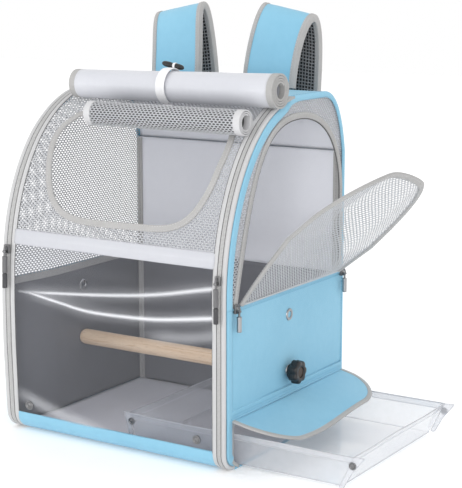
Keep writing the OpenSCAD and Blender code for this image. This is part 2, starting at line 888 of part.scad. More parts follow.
// Both faces of a layer are split along the same diagonals, so that two layers share their seam
module strap_layer(sign, inset0, inset1) {
  n = strap_steps * len(strap_path);
  points = [for (i = [0 : n]) let (u = i / strap_steps)
    each [strap_corner(sign, u, -sign, inset0), strap_corner(sign, u, sign, inset0),
          strap_corner(sign, u, sign, inset1), strap_corner(sign, u, -sign, inset1)]];
  walls = [for (i = [0 : n - 1], k = [0 : 3])
    let (a = 4 * i + k, b = 4 * i + (k + 1) % 4)
      each k == 2 ? [[a, b, a + 4], [b, b + 4, a + 4]] : [[a, b, b + 4], [a, b + 4, a + 4]]];
  difference() {
    polyhedron(points, concat(walls, [[3, 2, 1, 0]], [[4 * n, 4 * n + 1, 4 * n + 2, 4 * n + 3]]),
      convexity = 8);
    across(-body_w, body_w) outline_2d(0);
  }
}
module strap_left() {
  color(cloth_blue) strap_layer(-1, 0, strap_t);
}
module strap_right() {
  color(cloth_blue) strap_layer(1, 0, strap_t);
}
module strap_linings() {
  color(plastic_black)
    for (sign = [-1, 1]) strap_layer(sign, strap_t, strap_t + strap_lining_t);
}
// The webbing runs from the strap's lower end to the anchor at the bottom of the back
strap_low = strap_point(len(strap_path), (strap_t + strap_lining_t) / 2);
lock_low = strap_low - [0, lock_l];
lock_w = webbing_w + 1.4 * lock_bar;
anchor_top = [half_d + anchor_t / 2, anchor_h + anchor_l / 2];
module strap_locks() {
  color(plastic_black)
    both_sides()
      translate([strap_x, strap_low[0], lock_low[1]])
        difference() {
          translate([-lock_w / 2, -lock_t / 2, 0]) cube([lock_w, lock_t, lock_l]);
          for (i = [1, 3])
            translate([-webbing_w / 2, -lock_t, i * (lock_l - lock_bar) / 4])
              cube([webbing_w, 2 * lock_t, lock_bar]);
        }
}
module web_bar(p, w) {
  translate(p) cube([w, webbing_t, webbing_t], center = true);
}
module strap_webbing() {
  color(plastic_black)
    both_sides()
      hull() {
        web_bar([strap_x, strap_low[0], lock_low[1] - webbing_t / 2], webbing_w);
        web_bar([anchor_x, anchor_top[0], anchor_top[1] + webbing_t / 2], webbing_w);
      }
}
module strap_anchors() {
  color(cloth_blue)
    both_sides()
      translate([anchor_x, half_d, anchor_h - anchor_l / 2])
        rotate([90, 0, 180])
          linear_extrude(anchor_t)
            polygon([[-webbing_w / 2, anchor_l], [webbing_w / 2, anchor_l],
                     [0.8 * webbing_w, 0], [-0.8 * webbing_w, 0]]);
}

// Carry handle, lying back on the top
handle_y = handle_depth - half_d;
handle_hinge_h = body_h + handle_t / 2 + 0.3;
handle_pin = 2.4;
handle_neck = 2.6;
module handle_anchors() {
  color(plastic_black)
    both_sides()
      translate([handle_l / 2 - handle_w, handle_y, 0]) {
        translate([0, -handle_root, body_h])
          cube([handle_w, handle_root - handle_neck, webbing_t]);
        translate([0, 0, handle_hinge_h]) lying(0, handle_w, handle_pin);
        translate([0, -handle_neck - overlap, body_h + 0.2])
          cube([handle_w, handle_neck + 0.4, webbing_t - 0.4]);
      }
}
module carry_handle() {
  color(plastic_black)
    translate([0, handle_y, handle_hinge_h - handle_t / 2])
      difference() {
        linear_extrude(handle_t)
          difference() {
            translate([-handle_l / 2, 0]) square([handle_l, handle_reach]);
            translate([handle_w - handle_l / 2, -1])
              square([handle_l - 2 * handle_w, handle_reach - handle_w + 1]);
          }
        translate([0, 0, handle_t / 2]) lying(-handle_l, handle_l, handle_pin + 0.6);
        translate([-handle_l, -overlap, -1]) cube([2 * handle_l, 1.6, handle_t + 2]);
      }
}

// Hinge seams of the side door and the tray flap
flap_hinge_x = half_w + 1.8;
flap_y0 = slot_y0 - 4;
flap_y1 = slot_y1 + 2;
module along(y0, y1, d) {
  translate([0, y0, 0]) rotate([-90, 0, 0]) cylinder(d = d, h = y1 - y0);
}
door_low_y0 = door_rim(0, door_gap)[0];
door_low_y1 = door_rim(3, door_gap)[0];
module hinge_seams() {
  color(cloth_blue) {
    translate([half_w, 0, seam_h]) along(door_low_y0, door_low_y1, seam_d);
    translate([half_w - seam_d / 2, door_low_y0, seam_h - seam_d])
      cube([0.8, door_low_y1 - door_low_y0, seam_d]);
    translate([flap_hinge_x, 0, flap_hinge_h]) along(flap_y0, flap_y1, seam_d);
    translate([half_w, flap_y0, flap_hinge_h]) cube([1, flap_y1 - flap_y0, 6]);
  }
}

// The side door, drawn upright at its hinge and then turned outwards
hinge_gap = seam_d / 2 + 0.3;
leaf_low = hinge_gap + leaf_binding_w;
module door_pose() {
  translate([half_w, 0, seam_h]) rotate([0, door_open, 0]) children();
}
module side_door_binding() {
  color(binding_grey)
    door_pose()
      across(-leaf_t / 2, leaf_t / 2)
        difference() {
          door_2d(door_gap, hinge_gap);
          door_2d(door_gap + leaf_binding_w, leaf_low);
        }
}
// Rows of six-sided holes, each row set half a pitch from the last. A hole is kept where it lies
// wholly inside the net.
net_row = 0.84 * net_pitch;
hole_w = net_pitch - net_thread;
hole_h = 1.5 * (net_row - 0.9 * net_thread);
function door_at_height(z, i, lo = 0, hi = 1, n = 16) =
  n == 0 ? door_rim(i + lo, door_gap + leaf_binding_w)[0]
  : (i == 0 ? door_rim(i + (lo + hi) / 2, door_gap + leaf_binding_w)[1] < z
            : door_rim(i + (lo + hi) / 2, door_gap + leaf_binding_w)[1] > z)
    ? door_at_height(z, i, (lo + hi) / 2, hi, n - 1)
    : door_at_height(z, i, lo, (lo + hi) / 2, n - 1);
function door_rear_at(z) =
  z < 0.48 * door_h ? door_rim(3, door_gap + leaf_binding_w)[0] : door_at_height(z, 1);
net_top = door_h - door_gap - leaf_binding_w;
net_rows = floor((net_top - leaf_low - hole_h - net_thread) / net_row);
function net_row_h(j) = leaf_low + net_thread / 2 + hole_h / 2 + j * net_row;
holes = [for (j = [0 : net_rows - 1])
  let (z = net_row_h(j),
       high = z + hole_h / 2,
       y0 = door_at_height(high, 0) + net_thread / 2 + hole_w / 2,
       y1 = door_rear_at(high) - net_thread / 2 - hole_w / 2,
       k0 = ceil((y0 + half_d) / net_pitch - (j % 2) / 2),
       k1 = floor((y1 + half_d) / net_pitch - (j % 2) / 2))
    if (k1 >= k0) for (k = [k0 : k1]) [(k + (j % 2) / 2) * net_pitch - half_d, z]];
echo(net_holes = len(holes));
module side_door_net() {
  color(cloth_white)
    door_pose()
      across(-mesh_t / 2, mesh_t / 2)
        difference() {
          door_2d(door_gap + leaf_binding_w, leaf_low);
          for (h = holes)
            translate(h)
              polygon([for (i = [0 : 5]) [hole_w / 2 * sin(60 * i) / sin(60), hole_h / 2 * cos(60 * i)]]);
        }
}

// Tray: a folded clear sheet with pinched corners
tray_x1 = half_w - tray_ear - (half_w - lining_in) + tray_out - 1.4;
tray_x0 = tray_x1 - tray_l + 2 * tray_ear;
tray_y0 = slot_y1 - slot_binding_w - tray_rear_gap - tray_w;
tray_z0 = floor_top + tray_gap;
module tray_block(in) {
  rim_h = tray_h + (in > 0 ? overlap : 0);
  hull() {
    translate([tray_x0 + tray_slope + in, tray_y0 + tray_slope + in, tray_z0 + in])
      cube([tray_x1 - tray_x0 - 2 * tray_slope - 2 * in, tray_w - 2 * tray_slope - 2 * in, 0.01]);
    translate([tray_x0 + in, tray_y0 + in, tray_z0 + rim_h - 0.01])
      cube([tray_x1 - tray_x0 - 2 * in, tray_w - 2 * in, 0.01]);
  }
}
// One pinched corner: a fin that carries the long wall on past the end wall
module tray_fin() {
  translate([0, 2 * tray_t, 0])
    rotate([90, 0, 0])
      linear_extrude(2 * tray_t)
        polygon([[-tray_slope, 0], [0, tray_h], [tray_ear, tray_h], [-0.3 * tray_slope, 0]]);
}
module tray_corners() {
  for (y = [[tray_y0, 0], [tray_y0 + tray_w, 1]])
    translate([0, y[0], tray_z0])
      mirror([0, y[1], 0]) {
        translate([tray_x1, 0, 0]) children();
        translate([tray_x0, 0, 0]) mirror([1, 0, 0]) children();
      }
}
module tray_shell() {
  color(clear_sheet) {
    difference() {
      tray_block(0);
      tray_block(tray_t);
    }
    tray_corners() tray_fin();
  }
}
module tray_snaps() {
  color(metal_dark)
    tray_corners()
      translate([tray_ear / 8, 0, tray_h - snap_d / 2 - 4])
        rotate([90, 0, 0]) cylinder(d = 0.8 * snap_d, h = snap_t);
}

// Tray flap, drawn level and then let down
module flap_2d(inset) {
  r = flap_r - inset;
  y0 = flap_y0 + inset;
  y1 = flap_y1 - inset;
  x1 = flap_l - inset;
  polygon(concat(
    [[hinge_gap, y0]],
    [for (i = [0 : 10]) let (a = -90 + 9 * i) [x1 - r + r * cos(a), y0 + r + r * sin(a)]],
    [for (i = [0 : 10]) let (a = 9 * i) [x1 - r + r * cos(a), y1 - r + r * sin(a)]],
    [[hinge_gap, y1]]));
}
module flap_pose() {
  translate([flap_hinge_x, 0, flap_hinge_h]) rotate([0, flap_droop, 0]) children();
}
module tray_flap() {
  color(cloth_blue)
    flap_pose()
      translate([0, 0, -flap_t / 2])
        linear_extrude(flap_t) flap_2d(flap_binding_w);
}
module tray_flap_binding() {
  color(binding_grey)
    flap_pose()
      translate([0, 0, -flap_t / 2 - 0.2])
        linear_extrude(flap_t + 0.4)
          difference() {
            flap_2d(0);
            flap_2d(flap_binding_w);
          }
}

// Zip sliders and their pulls. A pull hangs from a bar across the slider's bridge.
bridge_d = 1.6;
bridge_off = 2.4;
module slider() {
  translate([0, -slider_t / 2, 0]) cube([slider_w, slider_t, slider_l], center = true);
  for (x = [-1, 1])
    translate([x * (pull_w / 2 + 0.9), -slider_t - bridge_off / 2, -slider_l / 4])
      cube([1, bridge_off + bridge_d, 2 * bridge_d], center = true);
  translate([0, -slider_t - bridge_off, -slider_l / 4])
    lying(-pull_w / 2 - 1.4, pull_w / 2 + 1.4, bridge_d);
}
// A pull: a ring round the bar, a flat shank and a round sleeve with a turned end
pull_ring_d = bridge_d + 2.4;
pull_shank = 6;
module pull(l) {
  rotate([180, 0, 0]) {
    translate([-pull_w / 4, -pull_t / 2, bridge_d]) cube([pull_w / 2, pull_t, pull_shank]);
    translate([0, 0, pull_shank])
      rotate_extrude()
        polygon([[0, 0], [0.4 * pull_w, 0], [pull_w / 2, 1], [pull_w / 2, l - pull_shank - 1],
                 [0.4 * pull_w, l - pull_shank], [0, l - pull_shank]]);
  }
  rotate([0, 90, 0])
    difference() {
      cylinder(d = pull_ring_d, h = pull_w, center = true);
      cylinder(d = bridge_d + 0.4, h = pull_w + 1, center = true);
    }
}
module at_front_zip(x, h) {
  translate([x, set_in - half_d - 0.2, h]) children();
}
module at_bridge() {
  translate([0, -slider_t - bridge_off, -slider_l / 4]) children();
}
front_slider_x = (edging_x + zip_x) / 2;
module zip_slider_left() {
  color(metal_dark) at_front_zip(-front_slider_x, slider_left_h) slider();
}
module zip_slider_right() {
  color(metal_dark) at_front_zip(front_slider_x, slider_right_h) slider();
}
module zip_pull_left() {
  color(metal_dark) at_front_zip(-front_slider_x, slider_left_h) at_bridge() pull(pull_l);
}
module zip_pull_right() {
  color(metal_dark) at_front_zip(front_slider_x, slider_right_h) at_bridge() pull(pull_l);
}
door_slider_y0 = door_low_y0 - slider_w / 2 - 1.6;
door_slider_y1 = door_low_y1 + slider_w / 2 + 1.6;
module at_door_zip(y) {
  translate([half_w + 0.2, y, seam_h]) rotate([0, 0, 90]) children();
}
module door_sliders() {
  color(metal_dark)
    for (y = [door_slider_y0, door_slider_y1]) at_door_zip(y) slider();
}
module door_pull_front() {
  color(metal_dark) at_door_zip(door_slider_y0) at_bridge() pull(door_pull_l);
}
module door_pull_rear() {
  color(metal_dark) at_door_zip(door_slider_y1) at_bridge() pull(door_pull_l);
}

floor_panel();
floor_liner();
front_band();
front_window();
window_strip();
front_mesh();
front_opening_binding();
hoop_left();
hoop_right();
front_zips();
front_edging();
window_snaps();
side_panel_right();
side_panel_left();
side_liners();
side_borders();
side_mesh_right();
side_mesh_left();
door_opening_binding();
left_strip();
slot_binding();
back_panel();
back_board();
back_liner();
back_cushion();
top_panel();
corner_trims();
hinge_seams();
perch_eyelets();
perch();
shade_roll();
roll_tie();
roll_toggle();
mesh_roll();
strap_left();
strap_right();
strap_linings();
strap_webbing();
strap_locks();
strap_anchors();
handle_anchors();
carry_handle();
door_sliders();
zip_slider_left();
zip_slider_right();
zip_pull_left();
zip_pull_right();
door_pull_front();
door_pull_rear();
side_door_net();
side_door_binding();
tray_shell();
tray_snaps();
tray_flap();
tray_flap_binding();
knob_right();
knob_left();
stud_right();
stud_left();
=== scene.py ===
import math

import bmesh
import bpy
import numpy as np
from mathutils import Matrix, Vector


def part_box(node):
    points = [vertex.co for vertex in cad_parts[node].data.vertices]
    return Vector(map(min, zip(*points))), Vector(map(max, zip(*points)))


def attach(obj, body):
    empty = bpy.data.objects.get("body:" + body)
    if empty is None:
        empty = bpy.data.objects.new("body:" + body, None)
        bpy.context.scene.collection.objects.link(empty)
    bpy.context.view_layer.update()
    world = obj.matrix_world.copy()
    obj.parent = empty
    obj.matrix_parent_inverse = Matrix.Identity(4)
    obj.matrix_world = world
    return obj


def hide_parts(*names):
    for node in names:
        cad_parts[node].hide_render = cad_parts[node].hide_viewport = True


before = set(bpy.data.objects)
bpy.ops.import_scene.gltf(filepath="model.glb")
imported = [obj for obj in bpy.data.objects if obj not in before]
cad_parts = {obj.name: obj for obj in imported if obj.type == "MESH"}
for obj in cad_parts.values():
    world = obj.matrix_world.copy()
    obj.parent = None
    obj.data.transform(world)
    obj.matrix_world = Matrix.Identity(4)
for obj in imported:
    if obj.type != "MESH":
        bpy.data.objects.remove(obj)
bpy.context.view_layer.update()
print("carrier: frame loaded,", len(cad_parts), "nodes")

# All shapes are worked out in millimetres, X right, Y back, Z up, and go into the mesh in metres.
halfD = 140.0
xOut, yBack, zUp = [1.0, 0, 0], [0, 1.0, 0], [0, 0, 1.0]

# Curves


def xyz(*parts):  # numbers and arrays side by side, as points
    return np.stack(np.broadcast_arrays(*parts), -1).astype(float)


def cubic(points, t):  # a point on a cubic curve from its four control points
    p = np.asarray(points, float)
    t = np.asarray(t, float)[..., None]
    return (1 - t) ** 3 * p[0] + 3 * t * (1 - t) ** 2 * p[1] + 3 * t * t * (1 - t) * p[2] + t**3 * p[3]


def turn(n, ends=False):  # n angles round a circle
    return np.linspace(0, 2 * math.pi, n, endpoint=ends)


def arc(cy, cz, r, a0, a1):  # a circular arc in the side plane, angles in degrees
    a = np.radians(np.linspace(a0, a1, 40))
    return xyz(cy + r * np.cos(a), cz + r * np.sin(a))


def along(line):  # running length along a line of points
    return np.concatenate([[0], np.cumsum(np.linalg.norm(np.diff(line, axis=0), axis=1))])


def inLength(t, s, line):  # the points of a line at the lengths t, where s are its own
    return xyz(*[np.interp(t, s, column) for column in np.transpose(line)])


def even(line, step, closed=False):  # the line again, with evenly spaced points
    line = np.asarray(line, float)
    if closed:
        line = np.vstack([line, line[:1]])
    s = along(line)
    count = max(2, int(round(s[-1] / step)) + 1)
    return inLength(np.linspace(0, s[-1], count, endpoint=not closed), s, line)


def smoothLine(points, n=12, closed=False):  # Catmull-Rom curve through the points
    p = np.asarray(points, float)
    q = np.vstack([p[-1:], p, p[:2]] if closed else [2 * p[:1] - p[1:2], p, 2 * p[-1:] - p[-2:-1]])
    t = np.linspace(0, 1, n, endpoint=False)[None, :, None]
    a, b, c, d = q[:-3, None], q[1:-2, None], q[2:-1, None], q[3:, None]
    out = 0.5 * (2 * b + (c - a) * t + (2 * a - 5 * b + 4 * c - d) * t**2 + (3 * b - a - 3 * c + d) * t**3)
    out = out.reshape(-1, p.shape[1])
    return out if closed else np.vstack([out, p[-1:]])


def unit(v):
    return v / np.maximum(np.linalg.norm(v, axis=-1, keepdims=True), 1e-9)


def tangents(line, closed=False):
    return unit(np.roll(line, -1, 0) - np.roll(line, 1, 0) if closed else np.gradient(line, axis=0))


def ease(t):
    t = np.clip(t, 0, 1)
    return t * t * (3 - 2 * t)


def bulge(t):  # half a sine wave over 0..1
    return np.sin(np.clip(t, 0, 1) * math.pi)


# The outline of the carrier's side as (depth, height): toe, front, arch, flat top, rear corner,
# back and heel. s is the length along it from the toe, and an inset goes inwards from it.
shell = dict(toe=22, heel=12, arch=[(0, 200), (0, 315), (67, 423), (165, 423)],
             crown=[(225, 423), (255.25, 423), (271.75, 394.9), (280, 345)])
toe, heel = shell["toe"], shell["heel"]
rimRaw = np.vstack([
    arc(toe, toe, toe, 270, 180), [[0, 110]], cubic(shell["arch"], np.linspace(0, 1, 200)),
    cubic(shell["crown"], np.linspace(0, 1, 120)), [[280, 150]], arc(280 - heel, heel, heel, 0, -90),
])
rimRaw = rimRaw[np.concatenate([[True], np.linalg.norm(np.diff(rimRaw, axis=0), axis=1) > 1e-6])]
rimLine = even(rimRaw, 0.5)
rimS = along(rimLine)
rimT = tangents(rimLine)
rimN = xyz(rimT[:, 1], -rimT[:, 0])      # inwards
toTop = rimLine[: int(np.argmax(rimLine[:, 1])) + 1]
sToTop = rimS[: len(toTop)]


def rim(s, inset=0.0):  # (y, z) in the object's frame at length s and an inset
    s, inset = np.asarray(s, float), np.asarray(inset, float)
    return inLength(s, rimS, rimLine) + inset[..., None] * unit(inLength(s, rimS, rimN)) - [halfD, 0]


def rimOut(s):  # unit vectors outwards from the rim, in 3D
    t = unit(inLength(s, rimS, rimT))
    return xyz(0, -t[:, 1], t[:, 0])


def sFront(z):  # length at a height on the front
    return np.interp(z, toTop[:, 1], sToTop)


def sTop(depth):  # length at a depth on the arch and the top
    keep = (rimS > sFront(199)) & (rimLine[:, 1] > 345.5)
    return np.interp(depth, rimLine[keep, 0], rimS[keep])


def sBack(z):  # length at a height on the back
    keep = rimS > sTop(250)
    return np.interp(-z, -rimLine[keep, 1], rimS[keep])


sCrownEnd, sEnd, sFrontEnd = sBack(345), rimS[-1], sTop(138)

# Mesh parts: dictionaries of points (co), lists of faces and (u, v) in millimetres


def surface(points, flip=False):  # a grid of points (rows, cols, 3) as quads
    points = np.asarray(points, float)
    rows, cols = points.shape[:2]
    i, j = np.meshgrid(np.arange(rows - 1), np.arange(cols - 1), indexing="ij")
    a = (i * cols + j).ravel()
    f = np.stack([a, a + 1, a + cols + 1, a + cols], -1)
    uv = np.stack(np.meshgrid(along(points[:, cols // 2]), along(points[rows // 2]), indexing="ij"), -1)
    return dict(co=points.reshape(-1, 3), faces=[f[:, ::-1] if flip else f], uv=uv.reshape(-1, 2))


def join(*parts):
    starts = np.cumsum([0] + [len(p["co"]) for p in parts])
    return dict(co=np.vstack([p["co"] for p in parts]), uv=np.vstack([p["uv"] for p in parts]),
                faces=[f + at for p, at in zip(parts, starts) for f in p["faces"]])


def moved(part, matrix, shift):
    return dict(part, co=part["co"] @ np.asarray(matrix, float).T + np.asarray(shift, float))


def mirrorX(part):
    return dict(part, co=part["co"] * [-1, 1, 1], faces=[f[:, ::-1] for f in part["faces"]])


def both(part):  # a part and its mirror image
    return join(part, mirrorX(part))


def sweep(line, outward, section, closed=False):
    # section (k, 2) as (across, outwards), closed, carried along the line; a ring at each point
    t = tangents(line, closed)
    outward = np.broadcast_to(outward, line.shape)
    n = unit(outward - (outward * t).sum(-1, keepdims=True) * t)
    b = np.cross(t, n)
    sec = np.vstack([section, section[:1]])
    if closed:
        line, b, n = (np.vstack([x, x[:1]]) for x in (line, b, n))
    part = surface(line[:, None] + b[:, None] * sec[None, :, :1] + n[:, None] * sec[None, :, 1:])
    if not closed:
        k = len(section)
        last = (len(line) - 1) * (k + 1)
        part["faces"] = part["faces"] + [np.arange(k)[None, ::-1], (last + np.arange(k))[None]]
    return part


def lens(width, thick, power=0.6, n=14, lift=0.0):  # a rounded flat section, anticlockwise
    a = turn(n) + math.pi / n
    c, s = np.cos(a), np.sin(a)
    return xyz(width / 2 * np.sign(c) * abs(c) ** power, lift + thick / 2 * np.sign(s) * abs(s) ** power)


def roundSection(d, n=12):
    return xyz(d / 2 * np.cos(turn(n)), d / 2 * np.sin(turn(n)))


def scatter(base, faces, line, outward, pitch, closed=False):  # a small shape repeated along a line
    fine = even(np.hstack([line, np.broadcast_to(outward, line.shape)]), pitch, closed)
    places, n = fine[:, :3], unit(fine[:, 3:])
    t = tangents(places, closed)
    b = np.cross(t, n)
    co = (places[:, None] + t[:, None] * base[None, :, :1] + b[:, None] * base[None, :, 1:2]
          + n[:, None] * base[None, :, 2:])
    each = len(base) * np.arange(len(places))[:, None, None]
    grown = [(np.asarray(f)[None] + each).reshape(-1, np.shape(f)[1]) for f in faces]
    return dict(co=co.reshape(-1, 3), faces=grown, uv=co.reshape(-1, 3)[:, :2])


cube = np.array([[x, y, z] for z in (0, 1) for x, y in ((-1, -1), (1, -1), (1, 1), (-1, 1))], float)
cubeFaces = [[[0, 3, 2, 1], [4, 5, 6, 7], [0, 1, 5, 4], [1, 2, 6, 5], [2, 3, 7, 6], [3, 0, 4, 7]]]


def teethRow(line, outward, width):
    return scatter(cube * [0.8 / 2, width / 2, 0.7], cubeFaces, line, outward, 1.45)


def box(low, high):  # a box as eight points and six faces, for a Bevel modifier
    low, high = np.asarray(low, float), np.asarray(high, float)
    co = cube * [0.5, 0.5, 1]
    return dict(co=low + (co + [0.5, 0.5, 0]) * (high - low), faces=[np.array(cubeFaces[0])], uv=co[:, :2])


def stitchRow(line, outward, pitch=3.6, length=2.6, closed=False):
    # a stitch is three rings of six points between two tips
    ring = xyz(np.cos(turn(6)) * 0.55 / 2, np.sin(turn(6)) * 0.3)
    co = [[-length / 2, 0, -0.1]]
    for x, g in ((-0.36, 0.8), (0, 1.0), (0.36, 0.8)):
        co += [[x * length, g * r[0], g * r[1]] for r in ring]
    co += [[length / 2, 0, -0.1]]
    tris = [[0, 1 + (i + 1) % 6, 1 + i] for i in range(6)] + [[19, 13 + i, 13 + (i + 1) % 6] for i in range(6)]
    quads = [[1 + 6 * r + i, 1 + 6 * r + (i + 1) % 6, 7 + 6 * r + (i + 1) % 6, 7 + 6 * r + i]
             for r in (0, 1) for i in range(6)]
    return scatter(np.array(co, float), [tris, quads], line, outward, pitch, closed)


def lathe(profile, axis, origin, n=36):  # a profile of (radius, along) turned round an axis
    r, h = np.asarray(profile, float).T
    a = turn(n + 1, True)
    axis = unit(np.asarray(axis, float))
    side = unit(np.cross(axis, zUp if abs(axis[2]) < 0.9 else xOut))
    ring = np.cos(a)[None, :, None] * side + np.sin(a)[None, :, None] * np.cross(axis, side)
    return surface(np.asarray(origin, float) + r[:, None, None] * ring + h[:, None, None] * axis, flip=True)


def flared(co):  # the soft body bulges to the left at its front: most at the corner, nothing by the middle
    if co[:, 0].min() > -125:
        return co
    frontY = np.interp(co[:, 2], toTop[:, 1], toTop[:, 0]) - halfD
    reach = np.interp(co[:, 2], [0, 40, 110, 165, 231, 300, 370, 423],
                      [7.0, 9.0, 11.5, 11.5, 8.5, 8.0, 7.0, 4.0])
    share = np.clip((-co[:, 0] - 60) / 100, 0, 1) ** 2 * (1 - ease((co[:, 1] - frontY - 10) / 85))
    return co - xyz(share * reach, 0, 0)


looks, slots = {}, {}      # the materials by name, and a name for what each stands for


def piece(name, part, look, replaces="", body="carrier", thick=0.0, offset=-1.0, bevel=0.0,
          merge=0.02, sharp=38, flipOut=False):
    mesh = bpy.data.meshes.new(name)
    co = flared(np.asarray(part["co"], float)).astype(np.float32) * 0.001
    loops = np.concatenate([np.asarray(f).ravel() for f in part["faces"]]).astype(np.int32)
    sizes = np.concatenate([np.full(len(f), np.shape(f)[1]) for f in part["faces"]])
    mesh.vertices.add(len(co))
    mesh.vertices.foreach_set("co", co.ravel())
    mesh.loops.add(len(loops))
    mesh.loops.foreach_set("vertex_index", loops)
    mesh.polygons.add(len(sizes))
    mesh.polygons.foreach_set("loop_start", np.concatenate([[0], np.cumsum(sizes)[:-1]]).astype(np.int32))
    mesh.update(calc_edges=True)
    layer = mesh.uv_layers.new(name="UVMap")
    layer.uv.foreach_set("vector", (np.asarray(part["uv"], np.float32)[loops] * 0.001).ravel())
    mesh.validate()
    if merge:
        bm = bmesh.new()
        bm.from_mesh(mesh)
        bmesh.ops.remove_doubles(bm, verts=bm.verts, dist=merge * 0.001)
        if flipOut:
            bmesh.ops.recalc_face_normals(bm, faces=bm.faces)
        bm.to_mesh(mesh)
        bm.free()
    mesh.polygons.foreach_set("use_smooth", np.ones(len(mesh.polygons), bool))
    if sharp:
        mesh.set_sharp_from_angle(angle=math.radians(sharp))
    mesh.materials.append(looks[look])
    obj = bpy.data.objects.new(name, mesh)
    bpy.context.scene.collection.objects.link(obj)
    if thick:
        m = obj.modifiers.new("thickness", "SOLIDIFY")
        m.thickness, m.offset = thick * 0.001, offset
    if bevel:
        m = obj.modifiers.new("edges", "BEVEL")
        m.width, m.segments, m.limit_method = bevel * 0.001, 2, "ANGLE"
        m.harden_normals = False
    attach(obj, body)
    if replaces:
        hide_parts(replaces)
    return obj


# Materials


def link(tree, value, socket):  # a constant or another node's output, into a socket
    if isinstance(value, bpy.types.NodeSocket):
        tree.links.new(value, socket)
    else:
        socket.default_value = value


def add(tree, kind, inputs=None, **settings):  # a node with its settings and its inputs
    node = tree.nodes.new(kind)
    for key, value in settings.items():
        setattr(node, key, value)
    for key, value in (inputs or {}).items():
        link(tree, value, node.inputs[key])
    return node


def calc(tree, operation, *values, clamp=False):
    return add(tree, "ShaderNodeMath", dict(enumerate(values)), operation=operation, use_clamp=clamp).outputs[0]


def ramp(tree, value, low, high, toLow=0.0, toHigh=1.0):
    return add(tree, "ShaderNodeMapRange", {0: value, 1: low, 2: high, 3: toLow, 4: toHigh}).outputs[0]


def noise(tree, vector, scale, detail, **more):
    inputs = {"Vector": vector, "Scale": scale, "Detail": detail, **more}
    return add(tree, "ShaderNodeTexNoise", inputs).outputs[0]


def stretch(tree, vector, scale):
    return add(tree, "ShaderNodeMapping", {"Vector": vector, "Scale": scale}).outputs[0]


def mixColour(tree, amount, a, b):
    node = add(tree, "ShaderNodeMix", {0: amount}, data_type="RGBA")
    for socket, value in ((node.inputs[6], a), (node.inputs[7], b)):
        link(tree, value if isinstance(value, bpy.types.NodeSocket) else (*value, 1), socket)
    return node.outputs[2]


def bump(tree, shader, strength, distance, height):
    node = add(tree, "ShaderNodeBump", {"Strength": strength, "Distance": distance, "Height": height})
    tree.links.new(node.outputs[0], shader.inputs["Normal"])


def shaderGroup(name, inputs, outputs, build):  # a shared effect with named inputs and outputs
    tree = bpy.data.node_groups.new(name, "ShaderNodeTree")
    tree.interface.new_socket("Vector", in_out="INPUT", socket_type="NodeSocketVector")
    for label, value in inputs.items():
        tree.interface.new_socket(label, in_out="INPUT", socket_type="NodeSocketFloat").default_value = value
    for label in outputs:
        tree.interface.new_socket(label, in_out="OUTPUT", socket_type="NodeSocketFloat")
    start, end = tree.nodes.new("NodeGroupInput"), tree.nodes.new("NodeGroupOutput")
    for label, socket in zip(outputs, build(tree, start.outputs)):
        tree.links.new(socket, end.inputs[label])
    return tree


def buildWeave(tree, given):  # plain weave: warp |sin| and weft |sin| take turns on a chequer
    places = add(tree, "ShaderNodeSeparateXYZ", {0: given["Vector"]}).outputs
    u, v = (calc(tree, "MULTIPLY", places[k], given["Threads"]) for k in (0, 1))
    warp, weft = (calc(tree, "ABSOLUTE", calc(tree, "SINE", calc(tree, "MULTIPLY", w, math.pi))) for w in (u, v))
    over = calc(tree, "PINGPONG", calc(tree, "ADD", calc(tree, "FLOOR", u), calc(tree, "FLOOR", v)), 1.0)
    return [add(tree, "ShaderNodeMix", {0: over, 2: warp, 3: weft}, data_type="FLOAT").outputs[0]]


def buildMottle(tree, given):  # slow and fast noise together, for uneven colour and finish
    slow = noise(tree, given["Vector"], given["Scale"], 3.0)
    fast = noise(tree, given["Vector"], calc(tree, "MULTIPLY", given["Scale"], 9.0), 2.0)
    mixed = calc(tree, "ADD", calc(tree, "MULTIPLY", slow, 0.65), calc(tree, "MULTIPLY", fast, 0.35))
    return [ramp(tree, mixed, 0.3, 0.7)]


def buildScuffs(tree, given):  # fine long scratches: noise stretched along one way
    return [ramp(tree, noise(tree, stretch(tree, given["Vector"], (900, 900, 60)), 1.0, 4.0), 0.52, 0.68)]


def buildLattice(tree, given):  # pale threads between round cells, for air mesh
    inputs = {"Vector": given["Vector"], "Scale": given["Scale"], "Randomness": 0.12}
    cells = add(tree, "ShaderNodeTexVoronoi", inputs, feature="DISTANCE_TO_EDGE").outputs[0]
    return [ramp(tree, cells, 0.06, 0.22, 1.0, 0.0)]


groups = {name: shaderGroup(name, inputs, outputs, build) for name, inputs, outputs, build in (
    ("clothWeave", {"Threads": 1800.0}, ["Height"], buildWeave),
    ("softMottle", {"Scale": 12.0}, ["Value"], buildMottle),
    ("fineScuffs", {}, ["Mask"], buildScuffs),
    ("airLattice", {"Scale": 260.0}, ["Threads"], buildLattice))}


def effect(tree, group, **inputs):
    node = add(tree, "ShaderNodeGroup", node_tree=groups[group])
    for key, value in inputs.items():
        link(tree, value, node.inputs[key])
    return node.outputs


def newMaterial(name, rough, metal=0.0, **fixed):
    mat = bpy.data.materials.new(name)
    mat.use_nodes = True
    shader = mat.node_tree.nodes["Principled BSDF"]
    for key, value in {"Roughness": rough, "Metallic": metal, **fixed}.items():
        shader.inputs[key].default_value = value
    return mat, mat.node_tree, shader, mat.node_tree.nodes.new("ShaderNodeTexCoord").outputs


